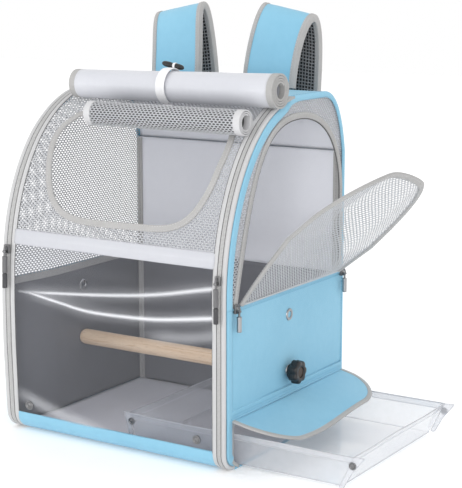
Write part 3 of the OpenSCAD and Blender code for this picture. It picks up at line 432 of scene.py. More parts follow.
def cloth(name, colour, deep, rough, threads, depth, mottle=14.0, **fixed):
    # woven cloth: mottled colour, painted shade between the threads, roughness that follows the weave
    mat, tree, shader, places = newMaterial(name, rough, **fixed)
    weave = effect(tree, "clothWeave", Vector=places["UV"], Threads=threads)["Height"]
    uneven = effect(tree, "softMottle", Vector=places["Object"], Scale=mottle)["Value"]
    # painted shade in the gaps of the weave, with random mottle, moves the colour towards deep
    weaveShadeAndMottle = calc(tree, "ADD", calc(tree, "MULTIPLY", calc(tree, "SUBTRACT", 1.0, weave), 0.45),
                calc(tree, "MULTIPLY", uneven, 0.35), clamp=True)
    tree.links.new(mixColour(tree, weaveShadeAndMottle, colour, deep), shader.inputs["Base Color"])
    tree.links.new(ramp(tree, uneven, 0, 1, rough - 0.06, rough + 0.08), shader.inputs["Roughness"])
    bump(tree, shader, 0.5, depth, weave)
    return mat


def hard(name, colour, worn, rough, metal=0.0, grain=0.00002):
    # moulded plastic or metal: fine scuffs lighten it and roughen it, with a faint moulded grain
    mat, tree, shader, places = newMaterial(name, rough, metal)
    scuff = effect(tree, "fineScuffs", Vector=places["Object"])["Mask"]
    uneven = effect(tree, "softMottle", Vector=places["Object"], Scale=60.0)["Value"]
    tree.links.new(mixColour(tree, calc(tree, "MULTIPLY", scuff, 0.5), colour, worn), shader.inputs["Base Color"])
    tree.links.new(calc(tree, "ADD", ramp(tree, uneven, 0, 1, rough - 0.05, rough + 0.07),
                        calc(tree, "MULTIPLY", scuff, 0.12)), shader.inputs["Roughness"])
    bump(tree, shader, 0.4, grain, noise(tree, places["Object"], 2600.0, 2.0))
    return mat


def clear(name, tint, haze, rough, film=(0.93, 0.94, 0.97), ior=1.5, marks=False):
    # clear sheet: mostly transparent, a thin film of haze, and a reflection by Fresnel, alike on both faces; with marks
    # the white film is also laid along an attribute as painted reflections
    mat, tree, shader, places = newMaterial(name, 0.5)
    smearAndReflection = effect(tree, "softMottle", Vector=places["Object"], Scale=9.0)["Value"]
    shader.inputs["Base Color"].default_value = (*film, 1)
    through = add(tree, "ShaderNodeBsdfTransparent", {"Color": (*tint, 1)}).outputs[0]
    shine = ramp(tree, smearAndReflection, 0, 1, rough, rough + 0.05)
    gloss = add(tree, "ShaderNodeBsdfGlossy", {"Color": (1, 1, 1, 1), "Roughness": shine})
    amount = ramp(tree, smearAndReflection, 0, 1, haze * 0.9, haze * 1.1)
    # painted reflection: the white film is laid thicker along the crease lines, as streaks of light
    if marks:
        amount = calc(tree, "MAXIMUM", amount, add(tree, "ShaderNodeAttribute", attribute_name="paintedReflection").outputs["Fac"])
    sheet = add(tree, "ShaderNodeMixShader", {0: amount, 1: through, 2: shader.outputs[0]}).outputs[0]
    behind = add(tree, "ShaderNodeNewGeometry").outputs["Backfacing"]
    edge = add(tree, "ShaderNodeFresnel", {"IOR": ramp(tree, behind, 0, 1, ior, 1 / ior)}).outputs[0]
    mixed = add(tree, "ShaderNodeMixShader", {0: edge, 1: sheet, 2: gloss.outputs[0]})
    tree.links.new(mixed.outputs[0], tree.nodes["Material Output"].inputs["Surface"])
    return mat


def airMesh(name, thread):  # black spacer mesh: pale lattice over dark cells that dip
    mat, tree, shader, places = newMaterial(name, 0.8)
    found = effect(tree, "airLattice", Vector=places["UV"], Scale=230.0)
    uneven = effect(tree, "softMottle", Vector=places["Object"], Scale=30.0)["Value"]
    threads = calc(tree, "MULTIPLY", found["Threads"], ramp(tree, uneven, 0, 1, 0.55, 1.0))
    tree.links.new(mixColour(tree, threads, (0.012, 0.012, 0.013), thread), shader.inputs["Base Color"])
    bump(tree, shader, 0.9, 0.0009, found["Threads"])
    return mat


def wood(name):  # pale beech along X: rings stretched along the rod, short dark flecks
    mat, tree, shader, places = newMaterial(name, 0.55)
    bend = noise(tree, stretch(tree, places["Object"], (3.0, 95.0, 95.0)), 1.2, 5.0, Distortion=0.8)
    rings = calc(tree, "FRACT", calc(tree, "MULTIPLY", bend, 5.0))
    flecks = ramp(tree, noise(tree, stretch(tree, places["Object"], (160.0, 1400.0, 1400.0)), 1.0, 2.0), 0.60, 0.70)
    base = mixColour(tree, rings, (0.93, 0.72, 0.52), (0.80, 0.56, 0.36))
    tree.links.new(mixColour(tree, calc(tree, "MULTIPLY", flecks, 0.5), base, (0.36, 0.2, 0.11)),
                   shader.inputs["Base Color"])
    tree.links.new(ramp(tree, rings, 0, 1, 0.5, 0.64), shader.inputs["Roughness"])
    bump(tree, shader, 0.3, 0.0002, rings)
    return mat


satin = {"Sheen Weight": 0.2, "Coat Weight": 0.15}
for make, slot, name, settings, more in (
        (cloth, "blue_cloth", "blueCloth", [(0.27, 0.56, 0.73), (0.19, 0.45, 0.62), 0.62, 1500, 0.00018],
         {"Sheen Weight": 0.15, "Sheen Roughness": 0.5}),
        (cloth, "white_cloth", "whiteCloth", [(0.63, 0.64, 0.68), (0.53, 0.54, 0.59), 0.34, 2200, 0.00006], satin),
        (cloth, "white_cloth", "satinStrip", [(0.54, 0.55, 0.59), (0.46, 0.47, 0.51), 0.34, 2200, 0.00006], satin),
        # one grey lining in three copies: darker as painted shade for the lower walls and lower back, paler as painted
        # light for the upper back and the ceiling, palest as painted light for the floor
        (cloth, "grey_lining", "liningCloth", [(0.19, 0.195, 0.215), (0.15, 0.155, 0.175), 0.48, 1700, 0.00012], {}),
        (cloth, "grey_lining", "paleLining", [(0.80, 0.81, 0.86), (0.72, 0.73, 0.78), 0.48, 1700, 0.00012], {}),
        (cloth, "grey_lining", "floorCloth", [(0.93, 0.93, 0.98), (0.84, 0.84, 0.90), 0.48, 1700, 0.00012], {}),
        (cloth, "grey_binding", "tapeCloth", [(0.47, 0.465, 0.46), (0.33, 0.325, 0.32), 0.72, 900, 0.0003, 40.0], {}),
        (cloth, "white_cloth", "pipingCloth", [(0.57, 0.57, 0.575), (0.47, 0.47, 0.48), 0.42, 1600, 0.0001], {}),
        (cloth, "black_webbing", "webCloth", [(0.03, 0.03, 0.032), (0.012, 0.012, 0.013), 0.72, 620, 0.0004], {}),
        (cloth, "elastic", "tieCloth", [(0.90, 0.90, 0.92), (0.74, 0.74, 0.76), 0.6, 700, 0.0003], {}),
        (cloth, "white_cloth", "elasticCloth", [(0.68, 0.68, 0.69), (0.50, 0.50, 0.52), 0.66, 700, 0.0004], {}),
        (cloth, "zip_tape", "zipCloth", [(0.44, 0.435, 0.43), (0.32, 0.315, 0.31), 0.75, 1100, 0.0002], {}),
        (cloth, "zip_tape", "seamShade", [(0.16, 0.16, 0.16), (0.10, 0.10, 0.10), 0.8, 1600, 0.0001], {}),
        (cloth, "white_mesh", "netThread", [(0.59, 0.60, 0.62), (0.45, 0.46, 0.49), 0.55, 2600, 0.0001, 60.0], {}),
        (cloth, "grey_binding", "paleThread", [(0.62, 0.62, 0.63), (0.46, 0.46, 0.48), 0.7, 3000, 0.0001, 90.0], {}),
        (cloth, "blue_cloth", "blueThread", [(0.17, 0.42, 0.58), (0.12, 0.33, 0.48), 0.7, 3000, 0.0001, 90.0], {}),
        (hard, "zip_tape", "coilPlastic", [(0.55, 0.55, 0.55), (0.7, 0.7, 0.7), 0.38], {}),
        (hard, "dark_metal", "darkMetal", [(0.20, 0.20, 0.205), (0.45, 0.45, 0.45), 0.34, 1.0, 0.00001], {}),
        (hard, "steel", "brightMetal", [(0.62, 0.62, 0.63), (0.8, 0.8, 0.8), 0.26, 1.0, 0.00001], {}),
        (hard, "steel", "greyMetal", [(0.36, 0.36, 0.37), (0.55, 0.55, 0.55), 0.32, 1.0, 0.00001], {}),
        (hard, "black_plastic", "knobInsert", [(0.05, 0.032, 0.022), (0.12, 0.08, 0.06), 0.5], {}),
        (hard, "black_plastic", "blackPlastic", [(0.010, 0.010, 0.011), (0.05, 0.05, 0.05), 0.36], {}),
        (hard, "", "stiffBoard", [(0.42, 0.43, 0.45), (0.5, 0.5, 0.52), 0.6], {}),
        (hard, "dark_metal", "pullGrey", [(0.14, 0.14, 0.145), (0.26, 0.26, 0.26), 0.42, 0.25], {}),
        (hard, "dark_metal", "pullDark", [(0.055, 0.055, 0.06), (0.16, 0.16, 0.16), 0.4, 0.25], {}),
        (clear, "clear_sheet", "clearVinyl", [(0.90, 0.905, 0.92), 0.008, 0.06], dict(ior=1.27, marks=True)),
        (clear, "clear_sheet", "trayVinyl", [(0.95, 0.953, 0.965), 0.34, 0.12, (0.72, 0.73, 0.76)], {}),
        (clear, "clear_sheet", "trayWelt", [(0.92, 0.925, 0.94), 0.75, 0.15, (0.52, 0.53, 0.56)], {}),
        (airMesh, "black_mesh", "airMesh", [(0.2, 0.2, 0.205)], {}),
        (airMesh, "black_mesh", "strapMesh", [(0.46, 0.46, 0.47)], {}),
        (wood, "beech", "beech", [], {})):
    looks[name], slots[name] = make(name, *settings, **more), slot
for node, look in (("back_board", "stiffBoard"), ("stud_left", "brightMetal"), ("stud_right", "brightMetal")):
    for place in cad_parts[node].material_slots:
        place.material = looks[look]
print("carrier: materials made")

# Front of the carrier: sheets that follow the arch, as x across and s up the outline

front = dict(half=144.0, inset=0.8, net=1.5, snapZ=35.0, snapX=(-126, 121))


def frontSheet(s0, s1, inset, rows, cols=97):  # inset(x, z) is the depth behind the outline
    S, X = np.meshgrid(np.linspace(s0, s1, rows), np.linspace(-front["half"], front["half"], cols), indexing="ij")
    yz = rim(S, inset(X, np.interp(S, rimS, rimLine[:, 1])))
    return surface(np.concatenate([X[..., None], yz], -1))


creases = [      # where each runs as (x, z), how far it stands out, and how white the painted reflection is along its middle and over a wide band
    dict(line=[(-127, 179.4), (-78, 172.3), (-32, 167), (34, 168.3), (77, 171.7), (143, 181.5)],
         high=0.35, width=3.2, middle=0.50, smearAndReflection=0.07, spread=9),
    dict(line=[(-113, 181.1), (-32, 188), (35, 195.3), (78, 202.2), (119, 210.7), (143, 215.5)],
         high=0.35, width=3.2, middle=0.42, smearAndReflection=0.06, spread=9),
    dict(line=[(-140, 47), (-105.6, 37.5), (-77.3, 30.7), (-30, 22)],
         high=0.8, width=7, middle=0, smearAndReflection=0.16, spread=8),
    dict(line=[(60, 150), (108.6, 154), (143, 161)], high=0.7, width=8, middle=0, smearAndReflection=0.13, spread=7)]


def fold(x, z, line, high, width):  # a Gaussian ridge round a line, dying out at its ends
    p = smoothLine(line)
    ends = np.clip((x - p[0, 0] + 22) / 40, 0, 1) * np.clip((p[-1, 0] + 30 - x) / 30, 0, 1)
    return high * ends * np.exp(-(((z - np.interp(x, p[:, 0], p[:, 1])) / width) ** 2))


def folds(x, z, high, width):  # the creases together, by the names of two of their settings
    return sum(fold(x, z, crease["line"], crease[high], crease[width]) for crease in creases)


def bandInset(x, z):
    return front["inset"] - 0.35 * bulge(z / 24) + 0.06 * np.sin(x / 17)


def windowInset(x, z):  # the clear sheet bows out between its creases
    bow = 1.1 * np.cos(np.clip(x / 150, -1, 1) * math.pi / 2) * bulge((z - 24) / 214)
    return front["inset"] - 0.35 * bow - folds(x, z, "high", "width")


def stripInset(x, z):  # the satin strip is puffed between its two seams
    return front["inset"] - 0.9 * bulge((z - 238) / 18) ** 0.7 - 0.2 * np.sin(x / 31)


piece("frontBand", frontSheet(0.5, sFront(24.6), bandInset, 22), "blueCloth", "front_band", thick=1.2)
windowSheet = piece("frontWindow", frontSheet(sFront(23.4), sFront(238.6), windowInset, 210, 121), "clearVinyl",
                    "front_window", thick=0.5, merge=0)
windowSheet.visible_shadow = False
# painted reflections on the sheet's creases: thin soft white lines that grow stronger to the right, over wide faint
# bands
at = np.empty(len(windowSheet.data.vertices) * 3, np.float32)
windowSheet.data.vertices.foreach_get("co", at)
wx, wz = at.reshape(-1, 3)[:, 0] * 1000, at.reshape(-1, 3)[:, 2] * 1000
fine = 1.2 + 1.2 * np.clip((wx + 140) / 280, 0, 1)
paintedReflection = np.max([fold(wx, wz, crease["line"], crease["middle"], fine) for crease in creases], 0)
paintedReflection += folds(wx, wz, "smearAndReflection", "spread")
windowSheet.data.attributes.new("paintedReflection", "FLOAT", "POINT").data.foreach_set("value", paintedReflection.astype(np.float32))
piece("windowStrip", frontSheet(sFront(237.6), sFront(256.4), stripInset, 14), "satinStrip", "window_strip", thick=1.2)

# The opening in the front mesh, as (x, z) seen from the front, laid on the arch

opening = dict(width=8.0, thick=3.0, stitch=2.5, line=[
    (-96, 395), (-110, 389), (-119, 378), (-121.5, 364), (-119.5, 350), (-114.5, 332), (-108, 314), (-100, 299),
    (-89, 287), (-73, 278.5), (-50, 274.3), (-17, 273.5), (25, 274.5), (59, 275.5), (77, 278), (94, 284.5),
    (108, 297), (118, 314), (123.5, 331), (126, 348), (128, 364), (126, 381), (119, 392), (108, 397), (0, 398)])


def inLine(points, loop):  # which points lie inside a closed line, by the crossing rule
    x, y = points[:, 0], points[:, 1]
    inside = np.zeros(len(points), bool)
    for (x0, y0), (x1, y1) in zip(loop, np.roll(loop, -1, 0)):
        if y0 != y1:
            inside ^= ((y0 > y) != (y1 > y)) & (x < (x1 - x0) * (y - y0) / (y1 - y0) + x0)
    return inside


openingLoop = even(smoothLine(opening["line"], closed=True), 4, closed=True)
openingFlat = xyz(openingLoop[:, 0], sFront(openingLoop[:, 1]))
openingAt = np.column_stack([openingLoop[:, 0], rim(openingFlat[:, 1], 0.9 + 0 * openingLoop[:, 0])])
openingAt = even(openingAt, 3.0, closed=True)
openingOut = rimOut(sFront(openingAt[:, 2]))

cellWide, cellHigh = 5.4, 2.8


def net(name, low, high, keep, place, replaces="", body="carrier", hole=(1.95, 1.02), thick=0.7):
    # staggered cells between two corners (a, b): eight outer points on the cell's edge, at both faces,
    # run down to eight points round its hole; keep says which centres stay, place puts (a, b, n) in 3D
    half = [cellWide / 2, cellHigh / 2]
    rows = np.arange(math.ceil(low[1] / cellHigh), math.floor(high[1] / cellHigh) + 1)
    cols = np.arange(math.ceil(low[0] / cellWide) - 1, math.floor(high[0] / cellWide) + 2)
    J, I = np.meshgrid(rows, cols, indexing="ij")
    cells = np.stack([(2 * I + (J % 2)).ravel(), (2 * J).ravel()], -1)      # in half pitches
    cells = cells[keep(cells * half)]
    around = np.array([[1, 0], [1, 1], [0, 1], [-1, 1], [-1, 0], [-1, -1], [0, -1], [1, -1]])
    keys, index = np.unique((cells[:, None] + around[None]).reshape(-1, 2), axis=0, return_inverse=True)
    index = index.reshape(-1, 8)
    ring = around * hole * np.where(abs(around).sum(1, keepdims=True) > 1, [0.62, 0.82], 1)
    lip = (cells * half)[:, None] + ring[None]
    shared = keys * half
    m = len(shared)
    flat = np.vstack([xyz(*shared.T, thick / 2), xyz(*shared.T, -thick / 2), xyz(*lip.reshape(-1, 2).T, 0)])
    inner = 2 * m + np.arange(8 * len(cells)).reshape(-1, 8)
    nextIn, nextOut = np.roll(inner, -1, 1), np.roll(index, -1, 1)
    faces = [np.stack(quads, -1).reshape(-1, 4) for quads in (
        (index, nextOut, nextIn, inner), (index + m, inner, nextIn, nextOut + m))]
    return piece(name, dict(co=place(*flat.T), faces=faces, uv=flat[:, :2]), "netThread", replaces, body,
                 merge=0, sharp=0)


def placeFront(a, b, n):  # a across, b up the outline, n outwards, with a slight slackness of the cloth
    slack = 0.5 * np.sin(a / 23 + b / 41) + 0.4 * np.sin(b / 19 - a / 57)
    return np.column_stack([a, rim(b, front["net"] - n + 0.4 * slack)])


sNet0, sNet1 = sFront(254.5), sTop(133)
net("frontMesh", (-146, sNet0), (146, sNet1), lambda c: (abs(c[:, 0]) < 146) & (c[:, 1] > sNet0)
    & (c[:, 1] < sNet1) & ~inLine(c, openingFlat), placeFront, "front_mesh")
piece("openingTape", sweep(openingAt, openingOut, lens(opening["width"], opening["thick"], lift=0.2), closed=True),
      "tapeCloth", "front_opening_binding")
across = np.cross(tangents(openingAt, True), openingOut)
piece("openingStitches", join(*[stitchRow(openingAt + d * across + 1.55 * openingOut, openingOut, closed=True)
                                for d in (-opening["stitch"], opening["stitch"])]), "paleThread", sharp=0)
print("carrier: front panels, window and mesh made")

# Corners: white piping, zip with its teeth and the white edging, from outside in

corner = dict(piping=157.4, lip=155.3, zip=151.5, tooth=1.15, edging=145.4, edgeStitch=144.4, pipeStitch=155.35,
              gaps=[(154.4, 0.9), (148.3, 1.0), (142.5, 0.8)])      # painted shade: dark lines where the layers meet
sLine = np.arange(0, sFrontEnd + 14, 2.5)


def sideLine(x, inset, s=sLine):
    return np.column_stack([np.full(len(s), float(x)), rim(s, np.full(len(s), float(inset)))])


def edgeSweep(x, inset, section):
    return sweep(sideLine(x, inset), rimOut(sLine), section)


for sign, name in ((-1, "Left"), (1, "Right")):
    piece("piping" + name, join(edgeSweep(sign * corner["piping"], 2.5, roundSection(5.1)),
                                edgeSweep(sign * corner["lip"], 1.6, lens(2.2, 1.6))),
          "pipingCloth", "hoop_" + name.lower())
rows = {key: [] for key in ("tapes", "teeth", "edging", "edgeStitch", "pipeStitch", "gaps")}
for sign in (-1, 1):
    rows["tapes"].append(edgeSweep(sign * corner["zip"], 1.7, lens(8.6, 1.2)))
    rows["teeth"] += [teethRow(sideLine(sign * (corner["zip"] + d), 1.2), rimOut(sLine), 2.1)
                      for d in (-corner["tooth"], corner["tooth"])]
    rows["edging"].append(edgeSweep(sign * corner["edging"], 1.3, lens(5.4, 2.0)))
    rows["edgeStitch"].append(stitchRow(sideLine(sign * corner["edgeStitch"], 0.25), rimOut(sLine)))
    rows["gaps"] += [edgeSweep(sign * x, 1.1, lens(w, 0.7)) for x, w in corner["gaps"]]
    rows["pipeStitch"].append(stitchRow(sideLine(sign * corner["pipeStitch"], 0.72), rimOut(sLine), length=2.3))
piece("frontZipTapes", join(*rows["tapes"]), "zipCloth", "front_zips")
piece("frontZipTeeth", join(*rows["teeth"]), "coilPlastic", sharp=30)
piece("frontGaps", join(*rows["gaps"]), "seamShade")
piece("frontEdging", join(*rows["edging"]), "pipingCloth", "front_edging")
piece("frontStitches", join(*rows["edgeStitch"], *rows["pipeStitch"]), "paleThread", sharp=0)


def snapPart(centre, axis, d=11.5, high=2.0):  # a press snap: rolled rim, sunk ring and a low dome
    shape = [(0, 0.62), (0.22, 0.60), (0.36, 0.42), (0.5, 0.36), (0.62, 0.62), (0.74, 0.98), (0.88, 1), (0.97, 0.78),
             (1, 0.35), (0.96, 0)]
    return lathe([(max(0.01, d / 2 * r), high * h) for r, h in shape], axis, centre, 28)


piece("windowSnaps", join(*[snapPart((x, 0.8 - halfD, front["snapZ"]), (0, -1, 0)) for x in front["snapX"]]),
      "darkMetal", "window_snaps")
print("carrier: piping, zips and snaps made")

# Side walls: blue cloth below the seam, blue border, white mesh and a grey D above it

side = dict(seam=191.0, border=11.0, borderRear=5.0, face=159.0, slotFront=-125.0, slotRear=134.0, slotTop=58.0,
            slotR=16.0, net=158.1, flapRows=((66.4, 160.95), (72.6, 159.75)))
sSeamFront, sSeamBack = sFront(side["seam"]), sBack(side["seam"])


def wallInset(s):  # the wall stands inside the piping in front, and inside the panels behind
    return 5.0 + (1.4 - 5.0) * ease((np.asarray(s) - (sFrontEnd - 8)) / 16)


def borderWidth(s):  # wide along the arch, narrow along the top and the back
    f = ease((np.asarray(s) - sTop(110)) / (sTop(172) - sTop(110)))
    return side["border"] + (side["borderRear"] - side["border"]) * f


def wallFront(z):  # y of the wall's front edge at a height
    return np.where(z < 22, 22 - np.sqrt(np.clip(17**2 - (22 - z) ** 2, 0, None)), 5.0) - halfD


def wallRear(z):
    return np.where(z < 12, 128 + np.sqrt(np.clip(10.6**2 - (12 - z) ** 2, 0, None)), halfD - 1.4)


def slotEdge(z):
    r = side["slotR"]
    low = side["slotFront"] + r - np.sqrt(np.clip(r**2 - (17.8 - z) ** 2, 0, None))
    return np.where(z < 17.8, low, side["slotFront"])


def wallGrid(z0, z1, low, high, rows, cols, x):  # x(y, z) gives the face of the wall
    z = np.linspace(z0, z1, rows)
    f = np.linspace(0, 1, cols)
    y = low(z)[:, None] * (1 - f) + high(z)[:, None] * f
    Z = np.repeat(z[:, None], cols, 1)
    return surface(xyz(x(y, Z), y, Z))


def sideFace(y, z):  # slack cloth: slow waves, drawn in along the seams
    hold = np.clip(np.minimum((191 - z) / 30, (z + 10) / 30), 0, 1)
    return side["face"] + 0.55 * hold * (1 + np.sin(y / 37 + z / 53) * np.cos(z / 29 - y / 71))


def rimStrip(s, across, x, inset):  # a raised strip on the wall, with its inset given over s and w = 0..1
    S, W = np.meshgrid(s, np.linspace(0, 1, across), indexing="ij")
    return surface(np.concatenate([x(1 - (2 * W - 1) ** 4)[..., None], rim(S, inset(S, W))], -1), flip=True)


slotTop = side["slotTop"]
walls = dict(
    Right=[wallGrid(slotTop, 190.2, wallFront, wallRear, 42, 80, sideFace),
           wallGrid(2, slotTop, wallFront, slotEdge, 26, 12, sideFace),
           wallGrid(2, slotTop, lambda z: z * 0 + side["slotRear"], wallRear, 26, 6, sideFace)],
    Left=[wallGrid(2, 190.2, wallFront, wallRear, 60, 80, sideFace)])
foldedIn = rimStrip(np.linspace(sFront(4), sSeamFront + 1, 60), 7, lambda up: side["face"] + 0.35 + up,
                    lambda S, W: 5 + 10.5 * W)
piece("sidePanelRight", join(*walls["Right"], foldedIn), "blueCloth", "side_panel_right", thick=0.9)
piece("sidePanelLeft", mirrorX(join(*walls["Left"], foldedIn)), "blueCloth", "side_panel_left", thick=0.9)

s = np.linspace(sSeamFront - 1, sSeamBack + 1, 200)
band = rimStrip(s, 9, lambda up: side["face"] + 1.1 * up, lambda S, W: wallInset(S) + borderWidth(S) * W)
piece("sideBorders", both(band), "blueCloth", "side_borders", thick=1.2)
stitches, seams = [], []
low = np.linspace(sFront(8), sSeamFront, 60)
for sign in (-1, 1):
    out = [float(sign), 0, 0]
    lines = [np.column_stack([np.full(len(s), sign * (side["face"] + 1.0)), rim(s, wallInset(s) + w * borderWidth(s))])
             for w in (0.16, 0.84)]
    seams.append(sweep(sideLine(sign * (side["face"] + 0.75), 15.8, low), out, roundSection(1.1)))
    lines += [sideLine(sign * (side["face"] + 1.3), 13.6, low),
              xyz(sign * (side["face"] + 0.7), 136.2, np.linspace(8, 188, 40))]
    if sign > 0:      # the rows that hold the flap's root
        lines += [xyz(x, np.linspace(-127, 134, 40), z) for z, x in side["flapRows"]]
    lines.append(xyz(sign * (side["face"] + 0.3), np.linspace(-128, 136, 40), 186.6))
    stitches += [stitchRow(line, out) for line in lines]
piece("sideStitches", join(*stitches), "blueThread", sharp=0)
piece("sideSeams", join(*seams), "blueThread")

# The side door and its opening share one outline, as (depth, height over the seam)

door = dict(open=46.0, hinge=(160.0, 191.0), curves=[
    [(26, 0), (62, 142.8), (81, 204), (165, 204)], [(165, 204), (231, 204), (268, 163.2), (268, 97.92)]])
doorRaw = even(np.vstack([cubic(door["curves"][0], np.linspace(0, 1, 120)),
                          cubic(door["curves"][1], np.linspace(0, 1, 100))[1:], [[268, 0]]]), 1.5)
doorTan = tangents(doorRaw)
doorIn = xyz(doorTan[:, 1], -doorTan[:, 0])


def doorLine(inset):  # (y, height over the seam)
    return doorRaw + inset * doorIn - [halfD, 0]


def doorLoop(inset, low=0.0):  # closed outline, cut off at a height
    p = doorLine(inset)
    p = p[p[:, 1] > low]
    return np.vstack([[p[0, 0], low], p, [p[-1, 0], low]])


def onSide(inset, x):  # the outline with an inset, on the right wall
    y, h = doorLine(inset).T
    return xyz(x, y, h + side["seam"])


piece("doorFrameTape", sweep(onSide(-3.5, 159.2), xOut, lens(7.6, 3.0)), "tapeCloth", "door_opening_binding")
# the frame's coil and teeth are in the dark seamShade cloth: painted shade along the door's zip
piece("doorFrameCoil", join(sweep(onSide(0.1, 159.0), xOut, lens(2.4, 1.0)), teethRow(onSide(0.4, 159.3), xOut, 1.8)),
      "seamShade", sharp=30)
piece("doorFrameStitches", join(*[stitchRow(onSide(d, 160.45), xOut) for d in (-1.2, -5.8)]), "paleThread", sharp=0)

sUpper = np.linspace(sSeamFront, sSeamBack, 160)
upper = rim(sUpper, wallInset(sUpper) + 0.7 * borderWidth(sUpper))
upperLoop = np.vstack([upper, [[upper[-1, 0], side["seam"] - 2], [upper[0, 0], side["seam"] - 2]]])
frameLoop = doorLoop(-3.0) + [0, side["seam"]]


def onWall(x):  # a along y, b up and n along x, with a slight slackness of the cloth
    return lambda a, b, n: xyz(x + n + 0.35 * np.sin(a / 27 + b / 33), a, b)


net("sideMeshRight", (-140, 189), (140, 424), lambda c: inLine(c, upperLoop) & ~inLine(c, frameLoop),
    onWall(side["net"]), "side_mesh_right")
net("sideMeshLeft", (-140, 189), (140, 424), lambda c: inLine(c, upperLoop), onWall(-side["net"]),
    "side_mesh_left")
seamTube = sweep(xyz(159.6, np.linspace(-134.5, 137.5, 90), 190.4), xOut, roundSection(2.4))
flapSeams = [sweep(xyz(x, np.linspace(-129, 136, 90), z), xOut, section) for x, z, section in (
    (161.2, 61.0, lens(3.2, 2.6, 0.8)), (160.0, 66.0, lens(10.4, 1.9, 0.35)))]
piece("hingeSeams", join(both(seamTube), *flapSeams), "blueCloth", "hinge_seams")


def leafPose(p):  # (out of the leaf, y, height over the hinge) turned outwards on the hinge
    a = math.radians(door["open"])
    return xyz(door["hinge"][0] + p[:, 0] * math.cos(a) + p[:, 2] * math.sin(a), p[:, 1],
               door["hinge"][1] - p[:, 0] * math.sin(a) + p[:, 2] * math.cos(a))


def leafBow(y, h):  # the soft leaf sags in its middle, its front edge curls in and its rear edge out
    curl, rise = ease((75 - y) / 75) * np.clip(h / 90, 0, 1), np.clip((y - 20) / 110, 0, 1) * np.clip(h / 60, 0, 1)
    return (-1.6 * bulge(h / 204) + 0.5 * np.sin(y / 31 + h / 23)
            - 22.0 * curl * (1 - 0.3 * np.clip((h - 130) / 70, 0, 1)) + 9.0 * rise * (1 - h / 408))


def placeLeaf(y, h, n):
    return leafPose(xyz(n + leafBow(y, h), y, h))


def rimIn(d, n=0.0):  # the leaf's outline with an inset, n outwards
    return placeLeaf(*doorLine(d)[doorLine(1.2)[:, 1] > 3.5].T, n)


leafOut = (leafPose(np.array([xOut])) - leafPose(np.zeros((1, 3))))[0]
piece("doorTape", sweep(rimIn(6.2), leafOut, lens(8.4, 4.4, 0.8)), "tapeCloth", "side_door_binding", "side_door")
piece("doorCoil", join(sweep(rimIn(2.5), leafOut, lens(1.4, 1.1)), teethRow(rimIn(2.2, -0.3), leafOut, 1.4)),
      "zipCloth", body="side_door", sharp=30)
piece("doorStitches", join(*[stitchRow(rimIn(d, n), leafOut * np.sign(n)) for d in (3.9, 8.5) for n in (1.85, -1.85)]),
      "paleThread", body="side_door", sharp=0)
leafLoop = doorLoop(5.5, 1.6)
hem = leafPose(xyz(0, np.linspace(leafLoop[0, 0], leafLoop[-1, 0], 60), 2.9))
piece("doorHem", sweep(hem, leafOut, lens(3.4, 1.6)), "netThread", body="side_door")
net("doorNet", (-126, 1), (130, 204), lambda c: inLine(c, leafLoop), placeLeaf, "side_door_net", "side_door",
    hole=(1.8, 0.92))
print("carrier: side walls and side door made")

# Inside: liners, floor, trims in the rear corners

lining = dict(x=157.2, frontY=-134.5, backY=131.0, floorZ=2.6, split=189.5, top=345.0)


def liningFace(y, z):
    return lining["x"] + 0.25 * np.sin(y / 43 + z / 31)


def liner(z0, z1, high, rows, cols):
    return wallGrid(z0, z1, lambda z: np.maximum(wallFront(z), lining["frontY"]), high, rows, cols, liningFace)


def linerRear(z):
    return z * 0 + lining["backY"]


# the lower linings take the copy with painted shade; the upper back, the ceiling and the floor take the copies with
# painted light
piece("sideLiners", join(liner(slotTop, 190, linerRear, 26, 40), liner(3, slotTop, slotEdge, 16, 8),
                         mirrorX(liner(3, 190, linerRear, 40, 50))), "liningCloth", "side_liners", thick=0.8, offset=1)
for name, z0, z1, look, node in (("backLiner", lining["floorZ"], lining["split"], "liningCloth", "back_liner"),
                                 ("backLinerTop", lining["split"], lining["top"], "paleLining", "")):
    Z, X = np.meshgrid(np.linspace(z0, z1, 40), np.linspace(-lining["x"], lining["x"], 60), indexing="ij")
    slack = 0.5 * np.sin(X / 47) * np.sin(Z / 61)
    piece(name, surface(xyz(X, lining["backY"] - 0.2 + slack, Z)), look, node, thick=0.8)
Y, X = np.meshgrid(np.linspace(-118, 131, 50), np.linspace(-157, 157, 50), indexing="ij")
piece("floorLiner", surface(xyz(X, Y, 2.65 + 0.05 * np.sin(X / 39) * np.sin(Y / 33))), "floorCloth", "floor_liner",
      thick=0.7)
Y, X = np.meshgrid(np.linspace(-118, 128, 30), np.linspace(-159.6, 159.6, 40), indexing="ij")
piece("floorPanel", surface(xyz(X, Y, 1.75)), "blueCloth", "floor_panel", thick=1.7)
zTrim = np.linspace(3.2, 344, 80)
piece("cornerTrims", join(*[sweep(xyz(sign * x, 130.0, zTrim), [0, -1.0, 0], lens(4.2, 2.4, 0.8))
                            for sign in (-1, 1) for x in (151.2, 155.6)]), "tapeCloth", "corner_trims")
piece("trimStitches", join(*[stitchRow(xyz(sign * 153.4, 129.2, zTrim), [0, -1.0, 0]) for sign in (-1, 1)]),
      "paleThread", sharp=0)
piece("leftStrip", sweep(xyz(-156.5, np.linspace(-128.5, 129, 80), 186.6), xOut, lens(9.0, 1.6, 0.5)), "tapeCloth",
      "left_strip")

